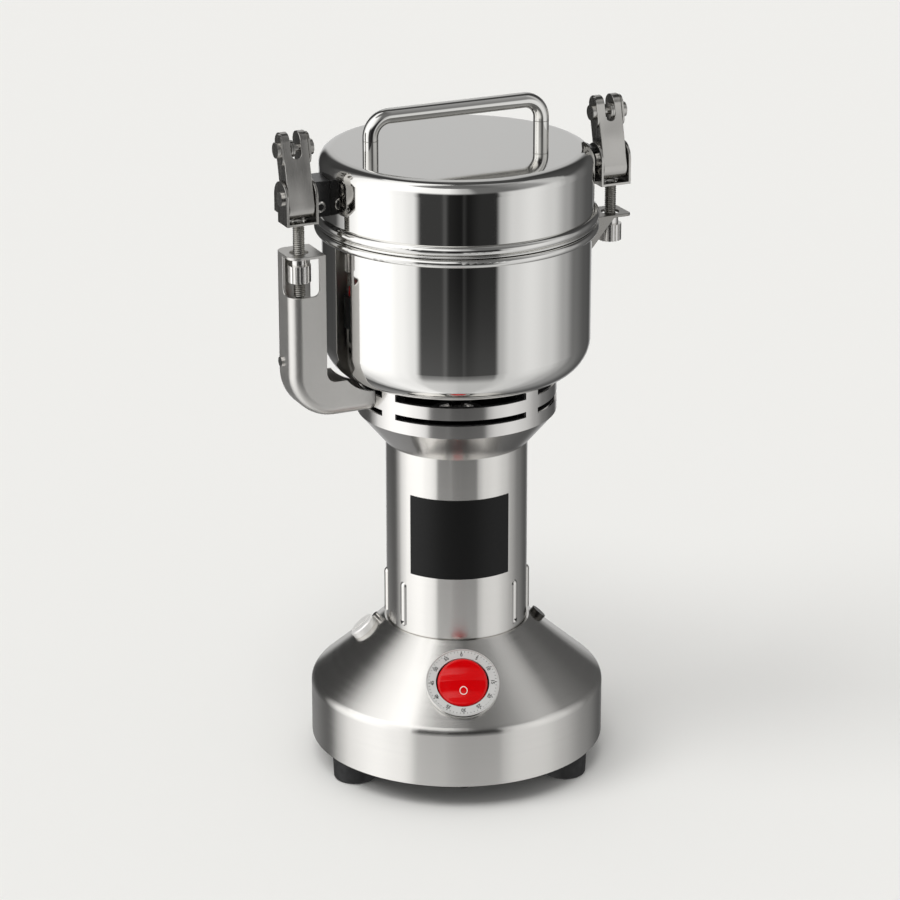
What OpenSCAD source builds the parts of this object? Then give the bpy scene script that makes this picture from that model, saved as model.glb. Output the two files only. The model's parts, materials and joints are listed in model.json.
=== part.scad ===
// Electric grain mill: a high-speed motor on a spun steel foot, a round grinding bowl
// on top of it, and a lid clamped by two over-centre latches.
// The origin is on the motor's axis, level with the soles of the feet. +Z is up.
// +X runs along the line of the two latches and of the handle.

/* [Base] */
// Outer radius of the base skirt
skirt_r = 77.4; // [74:0.1:84]
// Thickness of the spun steel sheet
sheet_t = 1.2; // [0.8:0.1:1.6]
// Height of the straight skirt, from the base's lower edge to the shoulder
skirt_h = 28.28; // [23:0.02:34]
// Radius of the cone's rim
rim_r = 38.3; // [38:0.1:40]
// Slope of the cone, in degrees
cone_slope = 41.2; // [38:0.1:43]
// Radius of the rounded shoulder between cone and skirt
shoulder_r = 5.5; // [4:0.5:12]
// Turn of the front of the base from -Y, in degrees
front_turn = -22; // [-30:1:-15]
// Thickness of the base plate
plate_t = 1.5; // [1:0.1:2]
// Width of the inward flange that the base plate is screwed to
flange_w = 7; // [6:0.5:7.5]

/* [Feet] */
// Height of a foot below the base
foot_h = 14; // [11:0.5:18]
// Radius of a foot at its top
foot_r = 11.8; // [10:0.1:12.4]
// Radius that a foot loses towards its sole
foot_taper = 0.6; // [0.3:0.1:1.5]
// Distance from the skirt's outside in to the middle of a foot
foot_inset = 13.4; // [12.8:0.1:19.4]
// Number of feet
foot_n = 3; // [3:1:4]

/* [Motor tube] */
// Outer radius of the motor tube
tube_r = 37; // [36.5:0.1:37.4]
// Wall of the motor tube
tube_t = 1.2; // [0.8:0.1:1.6]
// Length of tube between the cone's rim and the neck
tube_len = 100.1; // [97:0.1:110]
// Depth that the tube runs into the neck
tube_socket = 5; // [4:0.5:6]
// Height of a cooling louvre
louvre_h = 24; // [18:0.5:28]
// Width of a louvre
louvre_w = 4.6; // [3.6:0.1:5.4]
// How far a louvre stands out of the tube
louvre_out = 1.3; // [1:0.1:1.6]
// Height of the lower louvre end above the rim
louvre_rise = 4; // [2:0.5:8]
// Angle between neighbouring louvres on one side, in degrees
louvre_step = 36; // [32:1:38]
// Angle of the first louvre from the front, in degrees
louvre_first = 51.5; // [48:0.5:54]

/* [Neck] */
// Outer radius of the neck's band
neck_r = 51.8; // [50:0.1:54]
// Wall of the turned neck
neck_t = 3; // [2.4:0.1:3.6]
// Height of the flared lower part
flare_h = 16.5; // [14:0.5:19]
// Height of the solid band above the flare
band_h = 6.7; // [5:0.1:8]
// Height of the lower air slots
slot_h = 3.1; // [2.4:0.1:4]
// Height of the strip between the two rows of slots
strip_h = 6.6; // [5:0.1:8]
// Height of the upper air slots, up to the bowl
gap_h = 5; // [3.5:0.1:6]
// Angle that one slot spans, in degrees
slot_span = 80; // [70:1:80]
// Thickness of the neck's floor that carries the bearing
floor_t = 3; // [2.5:0.1:3.5]

/* [Bowl] */
// Outer radius of the bowl
bowl_r = 69; // [67:0.1:69.4]
// Wall of the bowl
bowl_t = 1.5; // [1.2:0.1:2]
// Height of the bowl from its underside to the middle of its rolled rim
bowl_h = 77; // [74:0.5:90]
// Radius of the bowl's lower corner
bowl_corner_r = 18; // [15:0.5:19]
// Outer radius of the two rolled rims, of bowl and lid
rim_out_r = 72.7; // [72:0.1:74]
// Radius of the rolled section of the bowl's rim
bowl_bead_r = 2.2; // [1.9:0.1:2.6]

/* [Lid] */
// Outer radius of the lid
lid_r = 70; // [69.6:0.1:70.6]
// Wall of the lid
lid_t = 1.5; // [1.2:0.1:2]
// Height of the lid from the middle of its rolled edge to its top
lid_h = 34.15; // [32:0.05:40]
// Radius of the lid's upper corner
lid_corner_r = 7.5; // [4:0.5:8]
// Radius of the rolled section of the lid's edge
lid_bead_r = 2.55; // [2:0.05:3]
// Thickness of the seal between lid and bowl
seal_h = 1.2; // [1:0.1:2]
// Thickness of the seal's upstand inside the lid
seal_t = 2; // [1.6:0.1:3]
// Height of the seal's upstand
seal_up = 7; // [5:0.5:9]

/* [Handle] */
// Radius of the handle's rod
handle_rod_r = 4; // [3.2:0.1:4.5]
// Distance between the two legs
handle_span = 95; // [80:1:104]
// Height from the lid's top to the top of the handle
handle_rise = 24; // [22:0.1:40]
// Radius of the handle's bends, on the rod's centreline
handle_bend_r = 10; // [6:0.5:14]
// Height of a handle nut inside the lid
handle_nut_h = 4; // [3:0.5:5]

/* [Latches] */
// Distance from the axis to the middle of a latch
latch_r = 87.5; // [86.5:0.1:90]
// Height of a lever's pivot above the lid's rolled edge
pivot_rise = 18.2; // [17.5:0.1:20]
// Radius of the pivot rivet
pivot_r = 2; // [1.6:0.1:2.4]
// Radius of the rivet heads
pivot_head_r = 3.7; // [3:0.1:4]
// Thickness of the rivet heads
pivot_head_t = 1.1; // [1:0.1:1.2]
// Width of a lever
lever_w = 13.5; // [12:0.1:13.8]
// Depth of a lever, front to back
lever_d = 10.5; // [9.5:0.1:11]
// Length of a lever from its pivot to its tip
lever_len = 32.9; // [31:0.1:38]
// Backward lean of a closed lever, in degrees
lever_lean = 14; // [8:1:18]
// Thickness of a lever's front plate
lever_t = 1.8; // [1.5:0.1:2.5]
// Width of the slot between a lever's two ears
ear_gap = 5.4; // [4:0.1:6]
// Height of the front plate's top above the pivot
ear_z = 18.9; // [16:0.1:20]
// Height of the cross pin above the pivot
cross_z = 24.2; // [23:0.1:26]
// Radius of the cross pin
cross_r = 2; // [1.6:0.1:2.4]
// Thickness of a yoke's sheet
yoke_t = 1.3; // [1:0.1:1.6]
// Clearance between a lever and each cheek of its yoke
yoke_gap = 0.45; // [0.3:0.05:0.8]
// Width of a lug block along the rim
lug_w = 16; // [14:0.5:18]
// Height of a lug block
lug_h = 18.5; // [17:0.5:20]

/* [Clamp rods] */
// Radius of a clamp rod
rod_r = 3; // [2.5:0.1:3.2]
// Travel of a clamp rod when its lever opens
rod_travel = 4; // [3:0.1:5]
// Radius of a knurled nut
nut_r = 6; // [5.5:0.1:6.5]
// Height of a nut's knurled part
nut_h = 8.8; // [7:0.1:10]
// Radius of a nut's collar
nut_collar_r = 4.3; // [4:0.1:4.8]
// Height of a nut's collar
nut_collar_h = 4.4; // [3:0.1:5]
// Length of the left rod below its nut
rod_tail = 8.5; // [6:0.5:10]

/* [Latch arm and bracket] */
// Distance from the middle of a latch out to the arm's outer face
arm_out = 8.5; // [8:0.1:9.6]
// Depth of the arm, from its outer face to the bowl side
arm_d = 19; // [18:0.1:20]
// Width of the arm along the bowl
arm_w = 22; // [20:0.5:26]
// Thickness of the arm's sheet
arm_t = 1.5; // [1.2:0.1:2]
// Radius of the arm's long outer edges
arm_edge_r = 6; // [4:0.5:8]
// Outer radius of the arm's elbow
elbow_r = 24; // [22:0.5:28]
// Height of the arm's underside above the neck's solid band
arm_lift = 1.2; // [0.6:0.1:2.4]
// Drop of the arm's top plate below the middle of the bowl's rim
arm_drop = 4; // [3:0.1:5]
// Height of the window round the nut
window_h = 19.5; // [17:0.5:21]
// Radius of the hole that a rod passes through
rod_hole_r = 4.7; // [4.2:0.1:5]
// Width of the right bracket
bracket_w = 18; // [16:0.5:22]
// Height of the right bracket's gussets
gusset_h = 20; // [15:0.5:24]
// Distance of a gusset's tip from the bracket's outer edge
gusset_back = 10; // [6:0.5:14]

/* [Switch and caps] */
// Radius of the round switch dial
dial_r = 19; // [17:0.5:20]
// How far the dial stands off the cone
dial_h = 2.5; // [2:0.1:3.5]
// Distance of the switch from the axis, measured on the cone
dial_place_r = 57; // [56:0.5:58]
// Radius of the round rocker
rocker_r = 13.4; // [12.5:0.1:13.6]
// Depth of the switch body inside the base
switch_depth = 24; // [18:1:26]
// Turn of the left cap from the base's front, in degrees
cap_turn = -93; // [-100:1:-86]
// Distance of the left cap from the axis
cap_place_r = 48.5; // [48:0.5:52]
// Radius of the left cap
cap_r = 7.5; // [6.5:0.1:8]
// Height of the left cap
cap_h = 3.5; // [2.5:0.1:5]
// Turn of the right plug from the base's front, in degrees
plug_turn = 97; // [90:1:104]
// Radius of the right plug's head
plug_r = 4.2; // [3.4:0.1:5]
// Height of the right plug's head
plug_h = 2.5; // [1.6:0.1:3]
// Radius of the cord gland's bore
gland_bore_r = 3.2; // [2.8:0.1:4]

/* [Motor] */
// Radius of the motor shaft
shaft_r = 4; // [3:0.1:4.5]
// Outer radius of a bearing
bearing_r = 11; // [10:0.5:13]
// Width of a bearing
bearing_w = 7; // [5:0.5:8]
// Room between the upper winding ends and the fan
winding_gap = 11.1; // [8:0.1:16]
// Outer radius of the stator
stator_r = 31; // [30:0.5:32]
// Outer radius of the armature
armature_r = 18; // [17:0.5:19]
// Air gap between armature and stator
air_gap = 0.5; // [0.4:0.05:0.8]
// Number of armature slots
slot_n = 12; // [8:1:14]
// Number of fan blades
fan_n = 9; // [7:1:11]
// Outer radius of the fan
fan_r = 31; // [26:0.5:33]

/* [Blades] */
// Reach of the lower blade from the axis
blade_reach = 60; // [50:1:63]
// Thickness of a blade
blade_t = 2; // [1.5:0.1:2.5]
// Width of a blade at its root
blade_w = 18; // [16:0.5:22]
// Height of the lower blade above the bowl's floor
blade_rise = 7; // [6:0.5:10]
// Distance between the two blades
blade_step = 14; // [10:0.5:18]

/* [Fits] */
// Radial clearance of a running fit
run_fit = 0.05; // [0.03:0.01:0.1]
// Clearance round a screw or a fixed insert
loose_fit = 0.15; // [0.1:0.05:0.3]
// Gap kept between moving pieces
move_gap = 0.3; // [0.2:0.05:0.4]

/* [Hidden] */
$fn = 96;
over = 1;
full = 360;
half_turn = 180;
quarter = 90;
sides_hex = 6;

// Levels, from the feet up
skirt_z = foot_h;
plate_top_z = skirt_z + plate_t;
shoulder_x = skirt_r - shoulder_r;
shoulder_z = skirt_z + skirt_h;
rim_z = shoulder_z + shoulder_r / cos(cone_slope) + (shoulder_x - rim_r) * tan(cone_slope);
neck_z = rim_z + tube_len;
band_z = neck_z + flare_h;
slot_z = band_z + band_h;
strip_z = slot_z + slot_h;
gap_z = strip_z + strip_h;
bowl_z = gap_z + gap_h;
floor_z = neck_z + tube_socket;
bowl_floor_z = bowl_z + bowl_t;
bowl_bead_z = bowl_z + bowl_h;
seal_z = bowl_bead_z + bowl_bead_r + move_gap;
lid_bead_z = seal_z + seal_h + lid_bead_r;
lid_top_z = lid_bead_z + lid_h;
pivot_z = lid_bead_z + pivot_rise;

// Base
base_inner_r = skirt_r - sheet_t;
base_screw_r = base_inner_r - flange_w / 2;
screw_r = 1.5;
screw_head_r = 2.9;
screw_head_h = 1.6;
screw_len = 6;
base_screw_turn = 60;
foot_circle_r = skirt_r - foot_inset;
foot_round_r = 1.6;
foot_bore_r = 4.6;
foot_bore_h = 7;
foot_screw_r = 2;
foot_screw_head_r = 4;
foot_screw_head_h = 2.6;
foot_nut_r = 3.9;
foot_nut_h = 3.2;

// Motor tube
tube_in_r = tube_r - tube_t;
tube_skirt = 12;
tube_foot_z = rim_z - tube_skirt;
tube_flange_w = 7.5;
tube_flange_t = 1.4;
louvre_rib_r = (pow(louvre_w / 2, 2) + pow(louvre_out, 2)) / (2 * louvre_out);
louvre_x = tube_r + louvre_out - louvre_rib_r;
louvre_wall = 0.9;
louvre_core_r = louvre_rib_r - louvre_wall;
louvre_z = rim_z + louvre_rise;
louvre_side_n = 4;

// Neck
neck_in_r = neck_r - neck_t;
neck_lip = 0.8;
flare_share = (neck_r - tube_r - neck_lip) / flare_h;
floor_in_r = tube_r + neck_lip + (tube_socket + floor_t) * flare_share - neck_t;
boss_r = 4;
boss_n = 4;
boss_turn = 45;
boss_sink = 0.6;
boss_place_r = neck_in_r - boss_r + boss_sink;
boss_h = 15;
stud_r = 1.5;
stud_nut_r = 3.1;
stud_nut_h = 3;
bearing_wall = 3.5;
bearing_shoulder = 2;
vent_n = 6;
vent_span = 44;
vent_gap = 3;
vent_lip = 1.5;
vent_in_r = bearing_r + bearing_wall + vent_gap;
vent_out_r = tube_in_r - vent_lip;
shaft_hole_gap = 1;

// Bowl, lid and handle
bowl_bead_x = rim_out_r - bowl_bead_r;
lid_bead_x = rim_out_r - lid_bead_r;
lid_in_r = lid_r - lid_t;
seal_out_r = lid_in_r - loose_fit;
seal_lip = 1.5;
handle_x = handle_span / 2;
handle_mid_z = lid_top_z + handle_rise - handle_rod_r;
handle_stud_r = 3;
handle_nut_r = 5.8;

// Latches
yoke_in_w = lever_w + 2 * yoke_gap;
yoke_out_w = yoke_in_w + 2 * yoke_t;
yoke_front = 7.4;
yoke_back = 5;
yoke_step = 9.7;
yoke_step_drop = 8.4;
yoke_step_z = pivot_z - yoke_step_drop;
yoke_arch_r = (yoke_front + yoke_step) / 2;
yoke_arch_y = (yoke_step - yoke_front) / 2;
lever_front = 5.5;
lever_toe_r = 7;
lever_toe_y = lever_toe_r - lever_front;
lever_toe_z = 4.14;
lever_back = lever_d - lever_front;
lever_reach = lever_toe_z + sqrt(pow(lever_toe_r, 2) - pow(lever_back - lever_toe_y, 2));
lever_sweep_r = sqrt(pow(lever_back, 2) + pow(lever_reach, 2));
ear_r = lever_d / 2;
ear_y = lever_back - ear_r;
cross_y = -1.76;
cross_head_r = 4;
cross_head_t = 2;
link_r = 4.15;
link_t = 1;
link_len = 16;
washer_r = 4.3;
washer_t = 0.9;
washer_gap = 0.2;
lug_y = 7.5;
lug_out_r = latch_r - yoke_out_w / 2;
lug_drop = 11.9;
lug_z = pivot_z - lug_drop;
lug_recess = 1.3;
lug_screw_r = 1.5;
lug_screw_head_r = 2.8;
lug_screw_head_h = 1.2;
lug_screw_in = 3.4;
lug_screw_up = 5.6;
lug_screw_len = 5;
lid_screw_len = 8;
lid_screw_head_r = 2.6;
lid_screw_step = 9;
rod_y = -1;
plate_gap = 0.45;
yoke_z = pivot_z - lever_sweep_r - plate_gap - yoke_t;
rod_top_z = yoke_z + yoke_t - move_gap;
rod_slot_gap = 0.6;
rod_slot_r = rod_r + rod_slot_gap;

// Arm, bracket, rods and nuts
arm_top_z = bowl_bead_z - arm_drop;
arm_z = slot_z + arm_lift;
arm_r = latch_r + arm_out;
arm_in_r = arm_r - arm_d;
elbow_x = arm_r - elbow_r;
elbow_z = arm_z + elbow_r;
elbow_in_r = elbow_r - arm_d;
nut_top_z = arm_top_z - arm_t - move_gap;
nut_z = nut_top_z - nut_collar_h - nut_h;
nut_floor = 0.8;
nut_grooves = 20;
nut_groove_r = 0.45;
rod_left_z = nut_z - rod_tail;
rod_right_z = nut_z + 2 * nut_floor;
window_in = 3.5;
window_y = 0;
window_edge_r = 3;
bowl_clear = 2.4;
arm_screw_rise = 5;
arm_screw_z = elbow_z + arm_screw_rise;
arm_screw_y = 3;
arm_screw_r = 1.5;
arm_screw_head_r = 2.6;
arm_screw_head_h = 1;
bracket_corner_r = 2.5;
gusset_t = 1.4;

// Interlock switch inside the arm
interlock_w = 11;
interlock_d = 10;
interlock_h = 17;
interlock_foot_t = 3;
plunger_r = 1.6;
plunger_len = 9;
plunger_top_z = rod_left_z - move_gap;
plunger_z = plunger_top_z - plunger_len;
interlock_top_z = plunger_top_z - rod_travel - move_gap - over;
interlock_x = arm_r - arm_t - interlock_w;

// Switch, caps and gland on the base
dial_z = rim_z - (dial_place_r - rim_r) * tan(cone_slope);
dial_body_r = 14.6;
dial_seat = 1;
dial_edge = 0.8;
rocker_gap = 0.4;
rocker_low = 0.6;
rocker_mid = 2.4;
rocker_high = 6.4;
rocker_floor = 3.4;
block_w = 20;
block_h = 9;
tab_w = 4.8;
tab_t = 0.8;
tab_h = 7;
tab_step = 6;
cap_z = rim_z - (cap_place_r - rim_r) * tan(cone_slope);
cap_edge = 0.7;
cap_slot_w = 1.4;
cap_slot_d = 0.9;
fuse_r = 5;
fuse_len = 22;
fuse_nut_r = 7;
fuse_nut_h = 2.5;
fuse_nut_gap = 0.4;
small_turn = cap_turn + 2;
small_gap = 0.3;
small_screw_r = 1.2;
small_head_r = 1.7;
small_head_h = 3.4;
small_place_r = cap_place_r - (cap_r + small_head_r + small_gap) * cos(cone_slope);
small_z = rim_z - (small_place_r - rim_r) * tan(cone_slope);
plug_place_r = 43;
plug_z = rim_z - (plug_place_r - rim_r) * tan(cone_slope);
plug_shank_r = 1.8;
cone_nut_h = 1.8;
cone_nut_share = 1.7;
gland_turn = 180;
gland_z = skirt_z + skirt_h / 2;
gland_r = 6;
gland_flange_r = 8;
gland_flange_t = 1.6;
gland_back = 7;
gland_lip = 1.5;
gland_gap = 0.5;
term_ways = 3;
term_pitch = 9;
term_d = 18;
term_h = 14;
term_hole_r = 1.8;

// Motor
bearing_rise = 5;
lower_bearing_z = rim_z + bearing_rise;
commutator_r = 11;
commutator_h = 12;
commutator_gap = 5;
commutator_z = lower_bearing_z + bearing_w + commutator_gap;
coil_h = 7;
stack_z = commutator_z + commutator_h + coil_h + over;
fan_h = 9;
fan_t = 1.4;
fan_hub_r = 9;
fan_blade_t = 1.2;
fan_gap = 5;
fan_z = floor_z - fan_h - fan_gap;
stack_top_z = fan_z - winding_gap - coil_h;
stack_h = stack_top_z - stack_z;
upper_bearing_z = floor_z + bearing_shoulder;
shaft_z = lower_bearing_z - bearing_shoulder;
shield_in = 0.4;
shield_share = 0.25;
ring_h = 5;
ring_in_r = stator_r + run_fit;
ring_out_r = tube_in_r - run_fit;
stator_bore_r = armature_r + air_gap;
stator_yoke = 5;
pole_span = 130;
pole_root_span = 70;
pole_tip = 3.5;
coil_in_r = stator_bore_r + over;
coil_t = 7.5;
coil_span = 120;
slot_w = 1.8;
slot_r = 2.9;
slot_depth = 5;
slot_place_r = armature_r - slot_depth;
winding_in_r = 7;
winding_out_r = armature_r - 2;
brush_w = 6;
brush_d = 9;
brush_len = 11;
brush_box_t = 1;
brush_box_l = 14;
brush_box_back = 3.7;
brush_gap = 0.25;
brush_mid_z = commutator_z + commutator_h / 2;
bracket_t = 3;
bracket_arm_w = 12;
post_w = 8;
post_r = 21;
segment_n = 24;
segment_gap = 0.5;
segment_d = 1;

// Shaft end and blades
seal_body_r = 9;
seal_body_h = 5;
seal_lip_t = 1;
blade_hub_r = 8;
blade_low_z = bowl_floor_z + blade_rise;
blade_up_z = blade_low_z + blade_t + blade_step;
blade_low_bend = 8;
blade_up_bend = 24;
blade_up_share = 0.78;
blade_tip_share = 0.55;
blade_flat_share = 0.45;
shaft_nut_r = 6.4;
shaft_nut_h = 6;
shaft_top_z = blade_up_z + blade_t + shaft_nut_h + over;

// Turns its children from -Y by an angle, towards +X
module at_turn(turn) rotate([0, 0, turn]) children();

// Seats its children on the cone: +Z along its outward normal, +Y up the slope
module on_cone(turn, r, z) {
    rotate([0, 0, turn]) translate([0, -r, z]) rotate([cone_slope, 0, 0]) children();
}

// The body under the cone, in the frame of something that stands on the cone
module under_cone(r, z) {
    rotate([-cone_slope, 0, 0]) translate([0, r, -z]) rotate_extrude() base_section(0, 0);
}

// Part of a ring between two radii and two heights, its middle at an angle from -Y
module ring_part(r1, r2, z1, z2, mid, span) {
    rotate([0, 0, mid - span / 2 - quarter]) rotate_extrude(angle = span)
        translate([r1, z1]) square([r2 - r1, z2 - z1]);
}

module ring(r1, r2, z1, z2) {
    translate([0, 0, z1]) difference() {
        cylinder(r = r2, h = z2 - z1);
        translate([0, 0, -over]) cylinder(r = r1, h = z2 - z1 + 2 * over);
    }
}

// A screw along +Z with its head below the origin
module screw(r, len, head_r, head_h) {
    translate([0, 0, -head_h]) cylinder(r = head_r, h = head_h);
    cylinder(r = r, h = len);
}

// The same with a six-sided nut on its end
module screw_and_nut(r, len, head_r, head_h, nut_across_r, nut_len) {
    screw(r, len, head_r, head_h);
    translate([0, 0, len - nut_len]) cylinder(r = nut_across_r, h = nut_len, $fn = sides_hex);
}

// Half section of the body that the base shell encloses, drawn in by an inset
module base_section(inset, low) {
    r = shoulder_r - inset;
    rim = rim_z - inset / cos(cone_slope);
    polygon([
        [0, low], [skirt_r - inset, low], [skirt_r - inset, shoulder_z], [shoulder_x, shoulder_z],
        [shoulder_x + r * sin(cone_slope), shoulder_z + r * cos(cone_slope)],
        [rim_r, rim], [0, rim]
    ]);
    translate([shoulder_x, shoulder_z]) circle(r = r);
}

module base_screw_places() {
    for (i = [0 : foot_n - 1]) at_turn(front_turn + i * full / foot_n)
        translate([0, -base_screw_r, 0]) children();
}

module foot_places() {
    for (i = [0 : foot_n - 1]) at_turn(front_turn + base_screw_turn + i * full / foot_n)
        translate([0, -foot_circle_r, 0]) children();
}

module base_shell() {
    color("silver") difference() {
        union() {
            difference() {
                rotate_extrude() base_section(0, skirt_z);
                rotate_extrude() base_section(sheet_t, skirt_z - over);
                cylinder(r = tube_r + move_gap, h = rim_z + over);
            }
            ring(base_inner_r - flange_w, base_inner_r + sheet_t / 2, plate_top_z, plate_top_z + sheet_t);
        }
        on_cone(front_turn, dial_place_r, dial_z)
            translate([0, 0, -shoulder_r]) cylinder(r = dial_body_r + loose_fit, h = 2 * shoulder_r);
        on_cone(front_turn + cap_turn, cap_place_r, cap_z)
            translate([0, 0, -shoulder_r]) cylinder(r = fuse_r + loose_fit, h = 2 * shoulder_r);
        on_cone(front_turn + small_turn, small_place_r, small_z)
            translate([0, 0, -shoulder_r]) cylinder(r = small_screw_r + run_fit, h = 2 * shoulder_r);
        on_cone(front_turn + plug_turn, plug_place_r, plug_z)
            translate([0, 0, -shoulder_r]) cylinder(r = plug_shank_r + run_fit, h = 2 * shoulder_r);
        at_turn(front_turn + gland_turn) translate([0, -skirt_r + flange_w, gland_z])
            rotate([quarter, 0, 0]) cylinder(r = gland_r + run_fit, h = flange_w + over);
        base_screw_places() translate([0, 0, plate_top_z - over])
            cylinder(r = screw_r + run_fit, h = sheet_t + 2 * over);
    }
}

module base_plate() {
    color("gray") difference() {
        translate([0, 0, skirt_z]) cylinder(r = base_inner_r - loose_fit, h = plate_t);
        base_screw_places() translate([0, 0, skirt_z - over])
            cylinder(r = screw_r + run_fit, h = plate_t + 2 * over);
        foot_places() translate([0, 0, skirt_z - over])
            cylinder(r = foot_screw_r + run_fit, h = plate_t + 2 * over);
    }
}

module base_screws() {
    color("silver") base_screw_places() translate([0, 0, skirt_z])
        screw(screw_r, screw_len, screw_head_r, screw_head_h);
}

module foot_section() {
    low_r = foot_r - foot_taper;
    difference() {
        union() {
            polygon([
                [foot_screw_r + run_fit, 0], [low_r - foot_round_r, 0], [low_r - foot_round_r, foot_round_r],
                [low_r, foot_round_r], [foot_r, foot_h], [foot_screw_r + run_fit, foot_h]
            ]);
            translate([low_r - foot_round_r, foot_round_r]) circle(r = foot_round_r);
        }
        translate([0, -over]) square([foot_bore_r, foot_bore_h + over]);
    }
}

module feet() {
    color("#1c1c1c") foot_places() rotate_extrude() foot_section();
}

module foot_screws() {
    len = plate_top_z + foot_nut_h - foot_bore_h;
    color("silver") foot_places() translate([0, 0, foot_bore_h])
        screw_and_nut(foot_screw_r, len, foot_screw_head_r, foot_screw_head_h, foot_nut_r, foot_nut_h);
}

module louvre_places() {
    for (side = [-1, 1], i = [0 : louvre_side_n - 1])
        at_turn(front_turn + side * (louvre_first + i * louvre_step))
            translate([0, -louvre_x, louvre_z]) children();
}

// One louvre: a pressed rib, round at its top and open at its foot
module louvre(r) {
    cylinder(r = r, h = louvre_h - louvre_rib_r);
    translate([0, 0, louvre_h - louvre_rib_r]) sphere(r = r);
}

// The flange under the cone that the base shell is screwed to
module tube_flange_section() {
    top = rim_z - sheet_t / cos(cone_slope);
    drop = (tube_r + tube_flange_w - rim_r) * tan(cone_slope);
    thick = tube_flange_t / cos(cone_slope);
    polygon([
        [tube_in_r, top - thick], [tube_in_r, top], [rim_r, top],
        [tube_r + tube_flange_w, top - drop], [tube_r + tube_flange_w, top - drop - thick],
        [rim_r, top - thick]
    ]);
}

module motor_tube() {
    color("silver") difference() {
        union() {
            translate([0, 0, tube_foot_z]) cylinder(r = tube_r, h = floor_z - tube_foot_z);
            rotate_extrude() tube_flange_section();
            louvre_places() louvre(louvre_rib_r);
        }
        translate([0, 0, tube_foot_z - over]) cylinder(r = tube_in_r, h = floor_z - tube_foot_z + 2 * over);
        louvre_places() translate([0, 0, -over]) louvre(louvre_core_r);
        on_cone(front_turn, dial_place_r, dial_z)
            translate([0, 0, -switch_depth]) cylinder(r = dial_body_r + move_gap, h = switch_depth);
        on_cone(front_turn + cap_turn, cap_place_r, cap_z)
            translate([0, 0, -fuse_len]) cylinder(r = fuse_nut_r + move_gap, h = fuse_len);
        on_cone(front_turn + small_turn, small_place_r, small_z)
            translate([0, 0, -shoulder_r]) cylinder(r = small_screw_r + run_fit, h = shoulder_r);
        on_cone(front_turn + plug_turn, plug_place_r, plug_z)
            translate([0, 0, -shoulder_r]) cylinder(r = plug_shank_r + run_fit, h = shoulder_r);
    }
}

module neck_section() {
    difference() {
        polygon([
            [0, neck_z], [tube_r + neck_lip, neck_z], [neck_r, band_z], [neck_r, bowl_z], [0, bowl_z]
        ]);
        translate([0, neck_z - over]) square([tube_r + run_fit, tube_socket + over]);
        polygon([
            [0, floor_z + floor_t], [floor_in_r, floor_z + floor_t],
            [neck_in_r, band_z], [neck_in_r, bowl_z + over], [0, bowl_z + over]
        ]);
    }
}

module boss_places() {
    for (i = [0 : boss_n - 1]) at_turn(front_turn + boss_turn + i * full / boss_n)
        translate([0, -boss_place_r, bowl_z - boss_h]) children();
}

module neck() {
    cut_r = neck_in_r - boss_sink;
    color("silver") difference() {
        union() {
            rotate_extrude() neck_section();
            translate([0, 0, floor_z])
                cylinder(r = bearing_r + bearing_wall, h = bearing_shoulder + bearing_w);
            boss_places() cylinder(r = boss_r, h = boss_h);
        }
        for (i = [0 : boss_n - 1]) {
            ring_part(cut_r, neck_r + over, gap_z, bowl_z + over, front_turn + i * full / boss_n, slot_span);
            ring_part(cut_r, neck_r + over, slot_z, strip_z, front_turn + i * full / boss_n, slot_span);
        }
        boss_places() translate([0, 0, -over]) cylinder(r = stud_r + run_fit, h = boss_h + 2 * over);
        for (i = [0 : vent_n - 1])
            ring_part(vent_in_r, vent_out_r, floor_z - over, floor_z + floor_t + over,
                i * full / vent_n, vent_span);
        translate([0, 0, upper_bearing_z]) cylinder(r = bearing_r + run_fit, h = bearing_w + over);
        translate([0, 0, floor_z - over]) cylinder(r = shaft_r + shaft_hole_gap, h = floor_t + 2 * over);
    }
}

// Studs welded under the bowl, with a nut below each boss
module bowl_studs() {
    color("silver") boss_places() {
        translate([0, 0, -stud_nut_h - over]) cylinder(r = stud_r, h = boss_h + stud_nut_h + over);
        translate([0, 0, -stud_nut_h]) cylinder(r = stud_nut_r, h = stud_nut_h, $fn = sides_hex);
    }
}

// A shielded ball bearing, its bore a running fit on the shaft
module bearing() {
    land = (bearing_r - shaft_r) * shield_share;
    rotate_extrude() difference() {
        translate([shaft_r + run_fit, 0]) square([bearing_r - shaft_r - run_fit, bearing_w]);
        for (z = [-over, bearing_w - shield_in])
            translate([shaft_r + land, z]) square([bearing_r - shaft_r - 2 * land, over + shield_in]);
    }
}

module upper_bearing() {
    color("silver") translate([0, 0, upper_bearing_z]) bearing();
}

module lower_bearing() {
    color("silver") translate([0, 0, lower_bearing_z]) bearing();
}

// Cross-shaped bracket that holds the lower bearing, with a post under each brush holder
module bearing_bracket() {
    low = lower_bearing_z - bracket_t;
    post_h = brush_mid_z - brush_d / 2 - brush_box_t - low;
    color("dimgray") difference() {
        union() {
            translate([0, 0, low]) cylinder(r = bearing_r + bearing_wall, h = bearing_w + bracket_t);
            intersection() {
                translate([0, 0, low]) cylinder(r = tube_in_r - run_fit, h = bracket_t);
                for (turn = [0, quarter]) at_turn(front_turn + turn)
                    translate([-tube_r, -bracket_arm_w / 2, low]) cube([2 * tube_r, bracket_arm_w, bracket_t]);
            }
            for (turn = [quarter, -quarter]) at_turn(front_turn + turn)
                translate([-post_w / 2, -post_r - post_w / 2, low]) cube([post_w, post_w, post_h]);
        }
        translate([0, 0, lower_bearing_z]) cylinder(r = bearing_r + run_fit, h = bearing_w + over);
        translate([0, 0, low - over]) cylinder(r = shaft_r + shaft_hole_gap, h = bracket_t + 2 * over);
    }
}

module motor_rings() {
    color("#202020") for (z = [stack_z, stack_top_z - ring_h])
        ring(ring_in_r, ring_out_r, z, z + ring_h);
}

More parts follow.
